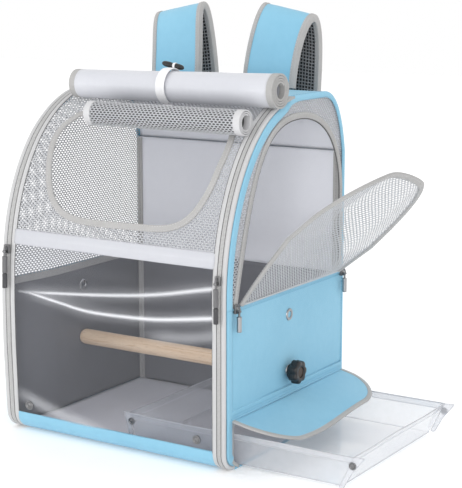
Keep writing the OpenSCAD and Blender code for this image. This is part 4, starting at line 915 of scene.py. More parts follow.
# Slot in the right wall: its binding follows the cut
zs = np.linspace(2, 17.8, 10)[[0, 4, 9]]
slotLine = np.vstack([xyz(slotEdge(zs) + 2, zs), [[-123, 35], [-123, 51], [-121.5, 55.5], [-117, 56], [0, 56],
                      [126, 56], [130.5, 55.5], [132, 51], [132, 35], [132, 5]]])
slotLine = even(smoothLine(slotLine, 8), 3)
piece("slotTape", sweep(xyz(158.7, *slotLine.T), xOut, lens(4.4, 3.4)), "tapeCloth", "slot_binding")

# Top and back: one sheet over the top and the rear corner, one down the back


def shellSheet(s0, s1, rows, cols, inset):
    S, X = np.meshgrid(np.linspace(s0, s1, rows), np.linspace(-160, 160, cols), indexing="ij")
    edge = np.clip((160 - abs(X)) / 5, 0, 1)
    roll = 2.2 * (1 - np.sqrt(np.clip(1 - (1 - edge) ** 2, 0, 1)))   # rounded down over the side edges
    return surface(np.concatenate([(X * (1 - 0.0015 * (1 - edge)))[..., None], rim(S, inset(X, S) + roll)], -1))


def topSag(x, s):
    return 0.15 + 0.8 * np.exp(-((x / 90) ** 2)) * bulge((s - sFrontEnd) / 90) + 0.12 * np.sin(x / 19 + s / 23)


def backSag(x, s):
    return 0.1 + 0.15 * np.sin(x / 29 + s / 37)


piece("topPanel", shellSheet(sFrontEnd - 1, sCrownEnd, 70, 90, topSag), "blueCloth", "top_panel", thick=1.2)
piece("backPanel", shellSheet(sCrownEnd - 0.5, sEnd, 90, 90, backSag), "blueCloth", "back_panel", thick=1.2)
S, X = np.meshgrid(np.linspace(sFrontEnd + 2, sCrownEnd - 1, 60), np.linspace(-156.8, 156.8, 40), indexing="ij")
under = surface(np.concatenate([X[..., None], rim(S, 2.9 + 0.2 * np.sin(X / 41) * np.sin(S / 37))], -1), flip=True)
piece("ceilingLining", under, "paleLining", thick=0.6, offset=0)
seams, stitches = [], []
for s0 in (sFrontEnd + 1.5, sCrownEnd):
    out = rimOut(np.array([s0]))[0]
    seams.append(sweep(xyz(np.linspace(-158, 158, 80), *rim(s0)), out, lens(2.6, 1.4, 0.8)))
    stitches.append(stitchRow(xyz(np.linspace(-157, 157, 80), *rim(s0 + 3.2, -0.02)), out))
sEdge = np.linspace(sFrontEnd + 16, sEnd - 4, 260)
for sign in (-1, 1):
    seams.append(sweep(sideLine(sign * 158.9, 1.1, sEdge), rimOut(sEdge), roundSection(2.8)))
    stitches.append(stitchRow(sideLine(sign * 155.2, 0.0, sEdge), rimOut(sEdge)))
piece("shellSeams", join(*seams), "blueCloth")
piece("shellStitches", join(*stitches), "blueThread", sharp=0)

# Cushion on the back: air mesh in four channels, pulled in between its corners

cushion = dict(half=118.0, low=92.0, high=345.0, thick=7.0, rolls=4)
a, b = np.meshgrid(np.linspace(-1, 1, 61), np.linspace(-1, 1, 65), indexing="ij")
X = cushion["half"] * a * np.sqrt(1 - 0.10 * b**8) * (1 - 0.035 * (1 - b**2))
Z = (cushion["low"] + cushion["high"]) / 2 + (cushion["high"] - cushion["low"]) / 2 * b * np.sqrt(1 - 0.10 * a**8)
middle = np.clip(abs(X) / 9, 0, 1) ** 0.5
edgeFall = (np.clip(1 - a**6, 0, 1) * np.clip(1 - b**6, 0, 1)) ** 0.45
channels = 1 - (1 - abs(np.sin(cushion["rolls"] * math.pi / 2 * (b + 1)))) ** 2.5
lift = 0.6 + (cushion["thick"] - 0.6) * edgeFall * (0.35 + 0.65 * channels) * (0.4 + 0.6 * middle)
pad = piece("backCushion", join(surface(xyz(X, halfD + lift, Z)), surface(xyz(X, halfD + 0.1, Z), flip=True)),
            "airMesh", "back_cushion")
loop = np.vstack([xyz(x, halfD + 0.6, z) for x, z in (
    (X[0], Z[0]), (X[:, -1], Z[:, -1]), (X[-1, ::-1], Z[-1, ::-1]), (X[::-1, 0], Z[::-1, 0]))])
loop = even(loop, 4, closed=True)
piece("cushionTape", sweep(loop, yBack, lens(5, 2.4, 0.8), closed=True), "webCloth")
print("carrier: inside, top and back made")

# Perch, eyelets and star knobs

perch = dict(y=4.0, z=90.0, spareZ=160.0, r=10.0, half=156.2, knobR=15.0, lobes=7, knobX=161.2)
u = np.linspace(-perch["half"], perch["half"], 90)
fromEnd = np.clip((perch["half"] - abs(u)) / 1.4, 0, 1)
radius = perch["r"] * (0.86 + 0.14 * np.sqrt(1 - (1 - fromEnd) ** 2)) + 0.05 * np.sin(u / 13)
profile = np.vstack([[0.01, u[0]], xyz(radius, u), [0.01, u[-1]]])
piece("perch", lathe(profile, (1, 0, 0), (0, perch["y"], perch["z"]), 40), "beech", "perch")


def eyelet(sign, z):  # a pressed ring on each face of the wall and the barrel between them
    prof = [(4.0, -4.6), (4.0, -0.4), (4.15, 0.5), (4.8, 1.0), (6.0, 1.05), (7.1, 0.6), (7.5, -0.2), (7.1, -0.5)]
    back = [(4.0, -4.4), (4.4, -5.0), (6.6, -4.9), (7.5, -4.2), (7.1, -3.7)]
    origin = (sign * 160.0, perch["y"], z)
    return join(lathe(prof, (sign, 0, 0), origin, 32), lathe(back[::-1], (sign, 0, 0), origin, 32))


for sign, name, look, node in ((-1, "Left", "brightMetal", "perch_eyelets"), (1, "Right", "greyMetal", "")):
    piece("perchEyelets" + name, join(*[eyelet(sign, perch[key]) for key in ("z", "spareZ")]), look, node)


def knobPart():  # star radius: R less a cosine scallop for each lobe, over rings from hub to face
    a = turn(141, True)
    star = perch["knobR"] * (1 - 0.15 * (0.5 - 0.5 * np.cos(perch["lobes"] * a)) ** 1.4)
    hub = 9.0 + 0 * a
    rings = [(0.0, hub * 0.01), (0.0, hub * 0.92), (0.5, hub), (4.6, hub), (5.0, hub * 1.04)]
    rings += [(x, star * g) for x, g in ((5.0, 0.86), (5.4, 0.95), (6.4, 1.0), (10, 0.985), (13.8, 0.97), (15.3, 0.93),
                                         (16.0, 0.86))]
    rings += [(16.0, hub * 0.80), (15.6, hub * 0.75), (14.6, hub * 0.74), (14.6, hub * 0.01)]
    x = np.array([ring[0] for ring in rings])[:, None] + perch["knobX"]
    r = np.array([ring[1] for ring in rings])
    return surface(xyz(x, perch["y"] + r * np.cos(a), perch["z"] + r * np.sin(a)))


for sign, name in ((-1, "left"), (1, "right")):
    piece("knob" + name.title(), knobPart() if sign > 0 else mirrorX(knobPart()), "blackPlastic", "knob_" + name,
          "screw_" + name, sharp=48)
    disc = lathe([(0.01, 0.5), (3.0, 0.45), (5.4, 0.25), (6.3, 0.0)], (sign, 0, 0),
                 (sign * (perch["knobX"] + 14.7), perch["y"], perch["z"]), 28)
    piece("knobInsert" + name.title(), disc, "knobInsert", body="screw_" + name)
print("carrier: perch and knobs made")

# The rolled shade and the rolled mesh flap: spirals r = r0 + pitch * turns

shade = dict(r=20.0, thick=1.5, pitch=2.8, turns=3.75, depth=116, x0=-129.0, x1=167.0, tape=8.0, sink=1.2,
             taper=(0.92, 1.06))
flapRoll = dict(r=16.0, thick=1.3, pitch=2.4, turns=2.75, depth=74, x0=-75.0, x1=148.0, tape=9.0, sink=0.8)


def rollCentre(roll):  # the middle of a roll, and the angle at which it touches the carrier
    s0 = sTop(roll["depth"])
    n = -rimOut(np.array([s0]))[0, 1:]
    return rim(s0, roll["sink"] - roll["r"] - 0.3), math.atan2(n[1], n[0])


def spiralLine(roll, centre, touch, f0=0.0, f1=1.0, off=0.0, step=0.035):  # (y, z) along the middle of the cloth
    f = np.linspace(f0, f1, max(6, int((f1 - f0) * roll["turns"] / step))) * roll["turns"]
    r = roll["r"] - roll["thick"] / 2 - roll["pitch"] * (roll["turns"] - f) + off
    a = touch + math.radians(15) - 2 * math.pi * (roll["turns"] - f)
    return centre + xyz(r * np.cos(a), r * np.sin(a))


def rollPart(line, x0, x1, thick, cols, ripple=0.0, swell=None):
    # a closed section either side of the line, carried across; the cloth ripples a little along X,
    # and swell = (foot, x, share) scales the section about its foot by a share given at each x
    t = tangents(line)
    n = xyz(t[:, 1], -t[:, 0])
    loop = np.vstack([line + n * thick / 2, (line - n * thick / 2)[::-1]])
    x = np.linspace(x0, x1, cols)[:, None, None]
    p = loop + ripple * (np.sin(x / 27) + 0.6 * np.sin(x / 11 + 1.3)) * np.vstack([n, n[::-1]])
    if swell:
        foot, at, share = swell
        p = foot + (p - foot) * np.interp(x, at, share)
    grid = np.concatenate([np.broadcast_to(x, (cols, len(loop), 1)), p], -1)
    part = surface(np.concatenate([grid, grid[:, :1]], 1))
    m, i = len(line), np.arange(len(line) - 1)
    cap = np.stack([i, i + 1, 2 * m - 2 - i, 2 * m - 1 - i], -1)
    part["faces"] += [cap[:, ::-1], cap + (cols - 1) * (len(loop) + 1)]
    return part


def rollEnds(roll):  # the strips at the two ends of a roll, as pairs of x
    return (roll["x0"], roll["x0"] + roll["tape"]), (roll["x1"] - roll["tape"], roll["x1"])


centre, touch = rollCentre(shade)
foot = centre + shade["r"] * np.array([math.cos(touch), math.sin(touch)])
swell = (foot, (shade["x0"], shade["x1"]), shade["taper"])
tail = rim(sTop([123.5, 127.5, 133.0, 140.0]), [-1.9, -1.3, -1.1, -1.0])
line = even(smoothLine(np.vstack([spiralLine(shade, centre, touch), tail]), 3), 1.2)
shadeRoll = piece("shadeRoll", rollPart(line, shade["x0"] + 1, shade["x1"] - 1, shade["thick"], 90, 0.12, swell),
                  "whiteCloth", "shade_roll", sharp=50)
shadeTapes = piece("shadeTapes", join(*[rollPart(line, *ends, shade["thick"] + 0.7, 3, 0.0, swell)
                                        for ends in rollEnds(shade)]), "tapeCloth", sharp=50)
outerLine = spiralLine(shade, centre, touch, f0=0.68, off=0.85)
rows = []
for x in (shade["x0"] + shade["tape"] + 1.2, shade["x1"] - shade["tape"] - 1.2):
    p = xyz(x, *(foot + (outerLine - foot) * np.interp(x, *swell[1:])).T)
    rows.append(stitchRow(p, p - [x, *centre]))
piece("shadeStitches", join(*rows), "paleThread", sharp=0)

netCentre, netTouch = rollCentre(flapRoll)
full = spiralLine(flapRoll, netCentre, netTouch)
netTail = rim(sTop([81.0, 87.0, 94.0, 101.0, 108.0]), [-0.4, -0.2, -0.1, 0.0, 0.1])
netLine = even(smoothLine(np.vstack([spiralLine(flapRoll, netCentre, netTouch, f0=0.60), netTail]), 3), 0.8)
netS = along(netLine)
netT = tangents(netLine)


def placeRoll(a, b, n):  # a across, b along the rolled mesh
    q = unit(inLength(b, netS, xyz(netT[:, 1], -netT[:, 0])))
    return xyz(a, *(inLength(b, netS, netLine) + (n + 0.2 * np.sin(a / 17))[:, None] * q).T)


inner = spiralLine(flapRoll, netCentre, netTouch, f1=0.62)
x0, x1 = flapRoll["x0"] + 6, flapRoll["x1"] - 6
meshRoll = net("meshRollNet", (x0, 2), (x1, netS[-1]), lambda c: (c[:, 0] > x0) & (c[:, 0] < x1) & (c[:, 1] > 2)
               & (c[:, 1] < netS[-1] - 2), placeRoll)
# the inner turns of the rolled mesh are a solid dark sheet: painted shade inside the roll, seen through the holes of
# the net
meshCore = piece("meshRoll", rollPart(even(inner, 0.8), flapRoll["x0"] + 3, flapRoll["x1"] - 3, 0.9, 30, 0.1),
                 "seamShade", "mesh_roll", sharp=50)
edgeLine = even(np.vstack([full, netTail[:2]]), 0.8)
meshEnds = piece("meshRollEnds", join(*[rollPart(edgeLine, *ends, 1.5, 4) for ends in rollEnds(flapRoll)]),
                 "elasticCloth", sharp=50)

# The white tie round the shade and its black toggle
tie = dict(x=11.0, width=13.0, r=21.3, toggle=32.0, knot=64, knotR=26.6)
a = touch + np.radians(np.linspace(28, 332, 80))
ring = xyz(tie["x"], centre[0] + tie["r"] * np.cos(a), centre[1] + tie["r"] * np.sin(a))
ring = np.vstack([[tie["x"], *rim(sTop(135.0), -2.2)], ring, [tie["x"], *rim(sTop(101.0), -0.9)]])
ring = even(smoothLine(ring, 3), 1.5)
piece("rollTie", sweep(ring, ring - [tie["x"], *centre], lens(tie["width"], 1.5, 0.5)), "tieCloth", "roll_tie")
knot = math.radians(tie["knot"])
at = np.array([tie["x"] - 3, centre[0] + tie["knotR"] * math.cos(knot), centre[1] + tie["knotR"] * math.sin(knot)])
f = np.linspace(-1, 1, 28)
girth = np.sqrt(np.clip(1 - abs(f) ** 5, 0.0004, 1)) * (1 - 0.18 * np.exp(-((f / 0.16) ** 2)))
bar = at + f[:, None] * [tie["toggle"] / 2, 0, -2.6]
a = turn(17, True)
grid = bar[:, None] + girth[:, None, None] * xyz(0, 4.0 * np.cos(a), 3.6 * np.sin(a))
piece("rollToggle", surface(grid, flip=True), "blackPlastic", "roll_toggle", flipOut=True)
a = turn(25)
cord = xyz(tie["x"], at[1] + 3.7 * np.cos(a), at[2] + 3.4 * np.sin(a) - 0.4)
piece("toggleLoop", sweep(cord, cord - [tie["x"], *at[1:]], lens(3.4, 1.1, 0.7), closed=True), "tieCloth")
print("carrier: rolls, tie and toggle made")

# Shoulder straps: a padded section carried along the looped path, taped at both edges

strap = dict(half=37.5, x=71.0, middle=4.8, lean=11.0, sway=12.0, path=[
    [(236, 424), (244, 476.9), (252, 521), (271, 521)], [(271, 521), (290, 521), (296, 481.8), (298, 423)],
    [(298, 423), (301, 353), (316, 313), (318, 255)], [(318, 255), (319, 235), (312, 209), (312, 185)]])
strapRaw = np.vstack([cubic(p, np.linspace(0, 1, 60))[int(i > 0):] for i, p in enumerate(strap["path"])])
strapU = np.concatenate([i + np.linspace(0, 1, 60)[int(i > 0):] for i in range(len(strap["path"]))])
strapLine = even(strapRaw, 4)
strapU = np.interp(np.linspace(0, along(strapRaw)[-1], len(strapLine)), along(strapRaw), strapU)
strapT = tangents(strapLine)
strapN = xyz(strapT[:, 1], -strapT[:, 0])      # towards the wearer's side


# A strap leans most at its top: e is the distance outwards from its middle, a the angle of the lean,
# and a point moves to x = sway + e cos a, z - e sin a, so that the inner edge is the higher
strapLean = np.where(strapU < 1, ease(strapU), 1 - ease((strapU - 1.3) / 1.5))[:, None]


def strapPoint(x, inset):  # rings along the strap; x and inset are the section
    a = np.radians(strap["lean"]) * strapLean
    p = strapLine[:, None] + strapN[:, None] * inset[..., None] - [halfD, 0]
    e = abs(x) - strap["x"]
    across = np.sign(x) * (strap["x"] + strap["sway"] * strapLean + e * np.cos(a))
    return xyz(across, p[..., 0], p[..., 1] - e * np.sin(a))


def filled(upper, lower):  # two facing grids, closed round their four edges
    return join(surface(upper), surface(lower, flip=True),
                surface(np.stack([upper[:, 0], lower[:, 0]], 1), flip=True),
                surface(np.stack([upper[:, -1], lower[:, -1]], 1)),
                surface(np.stack([upper[0], lower[0]], 0), flip=True), surface(np.stack([upper[-1], lower[-1]], 0)))


steps = np.arange(len(strapLine))
endEase = np.clip(np.minimum(steps, steps[::-1]) / 5, 0, 1)[:, None]
f = np.linspace(-1, 1, 25)
puff = np.clip(1 - abs(f) ** 3, 0, 1) ** 0.7
wrinkle = 0.18 * np.sin(steps * 4 / 13.0)[:, None] * np.cos(f * 3)
for sign, name in ((-1, "Left"), (1, "Right")):
    across = sign * strap["x"] + f * (strap["half"] - 0.6)
    top = strapPoint(across, 1.1 - 1.5 * endEase * puff + wrinkle * endEase)
    mid = strapPoint(across, strap["middle"] + 0 * endEase * f)
    low = strapPoint(across, 7.2 + 1.0 * endEase * puff)
    piece("strap" + name, filled(top, mid), "blueCloth", "strap_" + name.lower(), flipOut=True)
    piece("strapLining" + name, filled(mid, low), "strapMesh", "strap_linings", flipOut=True)
clamp = np.array([
    (-6.2, -0.4), (-3, -0.9), (-0.6, -0.6), (0.3, 1.0), (0.6, 4.1), (0.3, 7.3), (-0.6, 8.8), (-3, 9.1), (-6.2, 8.4),
    (-6.2, 7.6), (-3, 8.2), (-1.2, 7.9), (-0.5, 7.0), (-0.3, 4.1), (-0.5, 1.3), (-1.2, 0.3), (-3, 0.0), (-6.2, 0.5),
    (-6.2, -0.4)])
strapOut = xyz(0, *-strapN.T)
tapes, rows = [], []
for sign in (-1, 1):
    for edge in (-1, 1):
        grid = strapPoint(sign * strap["x"] + edge * (strap["half"] + clamp[:, 0]), clamp[:, 1] + 0 * endEase)
        tapes.append(surface(grid, flip=edge < 0))
        row = strapPoint(sign * strap["x"] + edge * (strap["half"] - 4.9), -0.85 + 0 * endEase)[:, 0]
        rows += [stitchRow(row, strapOut), stitchRow(row - 10.0 * strapOut, -strapOut)]
piece("strapTapes", join(*tapes), "tapeCloth", flipOut=True)
piece("strapStitches", join(*rows), "paleThread", sharp=0)

# Webbing, its locks and the sewn anchors below; the carry handle on top


def nodeBox(node):  # the low and high corners of a CAD node, in millimetres
    return [np.array(v) * 1000 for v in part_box(node)]


lockLow, lockHigh = nodeBox("strap_locks")
anchorLow, anchorHigh = nodeBox("strap_anchors")
webbing = dict(lock=33.0, anchorX=112.0, narrow=12.9, wide=20.0, out=[0, 1.0, 0.05])


def tabHalf(f):  # half the width of a sewn anchor, at a share f of its height
    return webbing["narrow"] + (webbing["wide"] - webbing["narrow"]) * (1 - f)


locks, webs, tabs, tabRows = [], [], [], []
cy, z0, z1 = (lockLow[1] + lockHigh[1]) / 2, lockLow[2], lockHigh[2]
anchorTall = anchorHigh[2] - anchorLow[2]
for sign in (-1, 1):
    cx, ax = sign * strap["x"], sign * webbing["anchorX"]
    for x0, x1 in ((-webbing["lock"] / 2, -12.6), (12.6, webbing["lock"] / 2)):
        locks.append(box((cx + x0, cy - 2.6, z0 + 0.5), (cx + x1, cy + 2.6, z1 - 0.5)))
    for h in np.linspace(z0 + 0.5, z1 - 5.5, 3):
        locks.append(box((cx - 13.5, cy - 2.2, h), (cx + 13.5, cy + 2.2, h + 5)))
    top, low = np.array([cx, cy, z0 + 6]), np.array([ax, halfD + 2.6, anchorHigh[2] + 1])
    t = np.linspace(0, 1, 30)[:, None]
    line = top + (low - top) * ease(t) * [1, 1, 0] + (low - top) * t * [0, 0, 1]
    web = np.vstack([[[cx, cy + 2.9, z1 - 8], [cx, cy + 3.2, z1 - 16], [cx, cy + 2.9, z1 - 26]], line,
                     [[ax, halfD + 2.0, low[2] - 12]]])
    tail = np.array([[cx - sign * x, cy + y, z0 + z] for x, y, z in (
        (0, 1.8, 8), (2, 3.0, -10), (5, 1.0, -34), (6, -2.0, -58))])
    webs += [sweep(even(smoothLine(points, n), 2.5), webbing["out"], lens(25, 1.5, 0.35))
             for points, n in ((web, 4), (tail, 8))]
    f, g = np.linspace(0, 1, 16)[:, None], np.linspace(-1, 1, 15)
    rise = 2.8 * (1 - abs(g) ** 6) * np.clip(np.minimum(f / 0.08, (1 - f) / 0.08), 0, 1) ** 0.5
    tabs.append(surface(xyz(ax + tabHalf(f) * g, halfD + 0.15 + rise, anchorLow[2] + anchorTall * f), flip=True))
    ringX, ringZ = np.array([-1, 1, 1, -1, -1.0]), np.array([0.12, 0.12, 0.88, 0.88, 0.12])
    loop = xyz(ax + (tabHalf(ringZ) - 3) * ringX, halfD + 2.95, anchorLow[2] + anchorTall * ringZ)
    tabRows.append(stitchRow(even(loop, 1), yBack))
piece("strapLocks", join(*locks), "blackPlastic", "strap_locks", bevel=0.9, merge=0)
piece("strapWebbing", join(*webs), "webCloth", "strap_webbing")
piece("strapAnchors", join(*tabs), "blueCloth", "strap_anchors")
piece("anchorStitches", join(*tabRows), "blueThread", sharp=0)

handle = dict(x=55.0, y=32.0, z=425.3, width=19.0, thick=3.2)
path = even(smoothLine([(-55, 0.4), (-55, 8), (-54.6, 17), (-50, 25), (-40, 28), (0, 28.5), (40, 28), (50, 25),
                        (54.6, 17), (55, 8), (55, 0.4)], 8), 2.5)
line = xyz(path[:, 0], handle["y"] + path[:, 1],
           handle["z"] + 1.2 * np.sin(np.clip(path[:, 1] / 28, 0, 1) * math.pi / 2))
piece("carryHandle", sweep(line, zUp, lens(handle["width"], handle["thick"], 0.4)), "webCloth", "carry_handle",
      "handle")
grip = line[abs(line[:, 0]) < 38]
piece("handleGrip", sweep(grip, zUp, lens(handle["width"] + 1.2, handle["thick"] + 1.6, 0.7)), "blueCloth",
      body="handle")
roots, rows = [], []
rootLine = np.array([(-16, 424.0), (-10, 424.1), (-3, 424.3), (-0.6, 425.0), (0.3, 425.4)])
square = np.array([[-8, -14.5], [8, -14.5], [8, -5], [-8, -5], [-8, -14.5], [8, -5], [8, -14.5], [-8, -5]])
for sign in (-1, 1):
    line = even(smoothLine(xyz(sign * handle["x"], handle["y"] + rootLine[:, 0], rootLine[:, 1]), 6), 1.2)
    roots.append(sweep(line, [0, 0.1, 1.0], lens(19.6, 1.5, 0.4)))
    row = even(xyz(sign * handle["x"] + square[:, 0], handle["y"] + square[:, 1], 424.95), 1)
    rows.append(stitchRow(row, zUp, pitch=3.0, length=2.2))
piece("handleRoots", join(*roots), "webCloth", "handle_anchors")
piece("handleStitches", join(*rows), "paleThread", sharp=0)
print("carrier: straps, webbing and handle made")

# Zip sliders and pulls: made once in a slider's own axes (X across, Y in, Z up) and turned into place

slider = dict(width=6.6, thick=3.4, long=11.0, bridge=5.8, pinDrop=2.75, pullR=3.0,
              front=(46.0, 27.0), door=(24.0, 24.0))      # length of a pull, and of its first sleeve's end


def sliderBody():
    w, l = slider["width"] / 2, slider["long"] / 2
    plates = [box((-w, -1.5, -l), (w, 0, l)), box((-w, -slider["thick"], -l), (w, -2.1, l)),
              box((-w * 0.45, -2.3, l * 0.1), (w * 0.45, -1.3, l))]
    arch = [[0, -3.2, l * 0.7], [0, -5.4, l * 0.55], [0, -6.6, 0], [0, -6.4, -l * 0.5], [0, -5.0, -l * 0.8],
            [0, -3.2, -l * 0.82]]
    return plates, sweep(even(smoothLine(arch, 6), 0.8), xOut, lens(1.5, 2.4, 0.6, 10))


def upright(profile, n):  # a profile turned round the Z axis
    return lathe(profile, (0, 0, 1), (0, 0, 0), n)


def sleeve(z0, z1, r):  # a moulded tube with rounded ends, waisted a little below its top
    rounded = [(0, 0.62), (0.15, 0.84), (0.5, 0.95), (1.2, 1.0), (3.0, 0.99), (5.5, 0.95), (9.0, 0.97)]
    top = [(r * k, z0 - d) for d, k in rounded if d < (z0 - z1) / 2]
    low = [(r * 0.97, z1 + 3.0), (r * 0.99, z1 + 1.2), (r * 0.93, z1 + 0.5), (r * 0.8, z1 + 0.15), (r * 0.6, z1)]
    return upright([(0.01, z0)] + top + low + [(0.01, z1)], 24)


def putPull(matrix, shift, tag, body, node, length, first, look):
    # hangs from its pin at the origin: a knuckle and a shank, then one sleeve or two
    def place(part):
        return moved(part, matrix, shift)

    a = turn(18)
    knuckle = xyz(0, 1.45 * np.cos(a), 1.45 * np.sin(a))
    metal = join(sweep(knuckle, knuckle, lens(4.6, 0.9, 0.6, 10), closed=True),
                 upright([(0.01, -1.2), (1.3, -1.4), (1.3, -6.4), (0.01, -6.6)], 16))
    piece("pull" + tag, place(metal), "darkMetal", node, body, sharp=40)
    piece("pullSleeve" + tag, place(sleeve(-5.6, -first, slider["pullR"])), look, body=body,
          sharp=50)
    if length > first + 1:
        piece("pullTip" + tag, place(sleeve(-first - 0.6, -length, slider["pullR"] * 0.96)), "pullDark", body=body,
              sharp=50)


straight = np.eye(3)
turned = np.array([[0, -1, 0], [1, 0, 0], [0, 0, 1.0]])      # on the right wall the slider faces +X
plates, bow = sliderBody()
spots = {}
for tag in ("Left", "Right"):
    node = "zip_slider_" + tag.lower()
    low, high = nodeBox(node)
    spots[tag] = np.array([(low[0] + high[0]) / 2, high[1], high[2] - slider["long"] / 2])
    body = "zip_" + tag.lower()
    piece("slider" + tag, moved(join(*plates), straight, spots[tag]), "darkMetal", node, body, bevel=0.5, merge=0)
    piece("sliderBow" + tag, moved(bow, straight, spots[tag]), "darkMetal", body=body)
low, high = nodeBox("door_sliders")
for tag, y in (("DoorFront", low[1] + slider["width"] / 2), ("DoorRear", high[1] - slider["width"] / 2)):
    spots[tag] = np.array([low[0], y, high[2] - slider["long"] / 2])
doorTags = ("DoorFront", "DoorRear")
piece("doorSliders", join(*[moved(p, turned, spots[tag]) for tag in doorTags for p in plates]), "darkMetal",
      "door_sliders", bevel=0.5, merge=0)
piece("doorSliderBows", join(*[moved(bow, turned, spots[tag]) for tag in doorTags]), "darkMetal")
for tag, body, node in (("Left", "pull_left", "zip_pull_left"), ("Right", "pull_right", "zip_pull_right"),
                        ("DoorFront", "door_pull_a", "door_pull_front"), ("DoorRear", "door_pull_b", "door_pull_rear")):
    matrix, kind, look = (turned, "door", "greyMetal") if tag in doorTags else (straight, "front", "pullGrey")
    pin = spots[tag] + matrix @ np.array([0, -slider["bridge"], -slider["pinDrop"]])
    putPull(matrix, pin, tag, body, node, *slider[kind], look)
print("carrier: zip sliders and pulls made")

# Tray flap: blue cloth let down on its seam, rounded outer corners, grey tape round it

flap = dict(hinge=(161.8, 61.0), y0=-129.0, y1=136.0, long=69.0, r=58.0, droop=15.0, hang=9.0, sag=1.6)


def flapPose(p):  # (out from the seam, y, up from the flap); the cloth hangs lower in its middle
    a = np.radians(flap["droop"] + flap["hang"] * np.exp(-(((p[:, 1] + 25) / 70) ** 2)))
    return xyz(flap["hinge"][0] + p[:, 0] * np.cos(a) + p[:, 2] * np.sin(a), p[:, 1],
               flap["hinge"][1] - p[:, 0] * np.sin(a) + p[:, 2] * np.cos(a))


def onFlap(l, y):  # domed between seam and edge, with slow waves along it
    lift = flap["sag"] * bulge(l / flap["long"]) + 0.6 * np.sin(y / 29) * (l / flap["long"])
    return flapPose(xyz(l, y, lift).reshape(-1, 3))


def flapRim(inset, n=24):
    r, x1 = flap["r"] - inset, flap["long"] - inset
    y0, y1 = flap["y0"] + inset, flap["y1"] - inset
    a = np.radians(np.linspace(-90, 0, n))
    return np.vstack([[[1.5, y0]], xyz(x1 - r + r * np.cos(a), y0 + r + r * np.sin(a)),
                      xyz(x1 - r + r * np.cos(-a[::-1]), y1 - r + r * np.sin(-a[::-1])), [[1.5, y1]]])


y = np.linspace(flap["y0"] + 3, flap["y1"] - 3, 70)[:, None]
cut = flapRim(3.0, 60)
longest = np.where(y < 0, np.interp(y, cut[1:61, 1], cut[1:61, 0]),
                   np.interp(-y, -cut[61:121, 1][::-1], cut[61:121, 0][::-1]))
grid = onFlap(1.5 + (longest - 1.5) * np.linspace(0, 1, 22), y).reshape(70, 22, 3)
flapCloth = piece("trayFlap", surface(grid), "blueCloth", "tray_flap", "flap", thick=1.6, offset=0)
up = (flapPose(np.array([zUp])) - flapPose(np.zeros((1, 3))))[0]
flapTape = piece("flapTape", sweep(onFlap(*even(flapRim(3.0), 3).T), up, lens(6.0, 2.8)), "tapeCloth",
                 "tray_flap_binding", "flap")
sewn = onFlap(*even(flapRim(4.9)[1:-1], 3).T)
flapStitch = piece("flapStitches", join(*[stitchRow(sewn + s * 1.15 * up, s * up) for s in (-1, 1)]), "paleThread",
                   body="flap", sharp=0)

# Tray: a folded clear sheet with a welded hem, pinched corners and snaps

tray = dict(x0=5.0, x1=301.0, y0=-113.5, y1=127.5, z0=3.1, high=38.0, slope=7.0, hem=7.0, splay=10.0, ear=14.0)
sideways = np.array([[0, -1, 0], [1, 0, 0], [0, 1, 0], [-1, 0, 0.0]])      # outwards from each wall in turn


def trayRing(f):  # the four corners of the tray at a share f of its height
    d = tray["slope"] * (1 - f)
    x0, x1, y0, y1 = tray["x0"] + d, tray["x1"] - d + tray["splay"] * f, tray["y0"] + d, tray["y1"] - d
    return np.array([[x0, y0], [x1, y0], [x1, y1], [x0, y1]])


def trayWall(i, rows=14, cols=60, f0=0.0, f1=1.0, off=0.0):  # the sheet bends out softly between its corners
    f, g = np.linspace(f0, f1, rows), np.linspace(0, 1, cols)
    lo, hi = (np.array([trayRing(k)[j % 4] for k in f])[:, None] for j in (i, i + 1))
    bend = (0.9 * np.sin(g * math.pi) * np.sin(g * 9 + i) * f[:, None] ** 2 + off)[..., None]
    z = tray["z0"] + 0.4 + (tray["high"] - 0.4) * f[:, None] \
        - 0.8 * (f[:, None] ** 3) * np.sin(g * math.pi) * (1 + np.sin(g * 7 + i)) / 2
    return np.concatenate([lo + (hi - lo) * g[None, :, None] + bend * sideways[i, :2], z[..., None]], -1)


gx, gy = np.meshgrid(np.linspace(tray["x0"] + 7, tray["x1"] - 7, 60),
                     np.linspace(tray["y0"] + 7, tray["y1"] - 7, 50), indexing="ij")
base = surface(xyz(gx, gy, tray["z0"] + 0.4 + 0.25 * np.sin(gx / 31) ** 2 * np.sin(gy / 27) ** 2))
walls = [surface(trayWall(i)) for i in range(4)]
fins, weltLines = [], []
for cx, sx in ((tray["x1"], 1), (tray["x0"], -1)):
    for cy, sy in ((tray["y0"], 1), (tray["y1"], -1)):
        lean, far = (tray["splay"], tray["ear"]) if sx > 0 else (0, 8)
        tip = np.array([(-7, 0), (-2.1, 0), (3.2 + lean / 2, 19), (far + lean, 39.0), (lean, 38),
                        (-3.5 + lean / 2, 19), (-7, 0.8)])
        for off in (0.15, 1.5):
            p = xyz(cx + sx * tip[:6, 0], cy + sy * off, tray["z0"] + tip[:6, 1])
            quads = np.array([[0, 1, 2, 5], [5, 2, 3, 4]])
            fins.append(dict(co=p, faces=[quads if sx * sy > 0 else quads[:, ::-1]], uv=p[:, ::2]))
        outer = even(xyz(cx + sx * tip[:, 0], cy + sy * 0.8, tray["z0"] + tip[:, 1]), 2)
        weltLines.append(sweep(outer, [0, -sy * 1.0, 0], roundSection(0.9, 8)))
hemFrom = 1 - tray["hem"] / tray["high"]
for share, d in ((1.0, 1.5), (hemFrom, 0.8), (0.0, 0.9)):
    weltLines += [sweep(trayWall(i, rows=2, f0=share, f1=share + 1e-6, off=0.3)[0], sideways[i], roundSection(d, 8))
                  for i in range(4)]
hemParts = [surface(trayWall(i, rows=4, f0=hemFrom, off=0.5)) for i in range(4)]
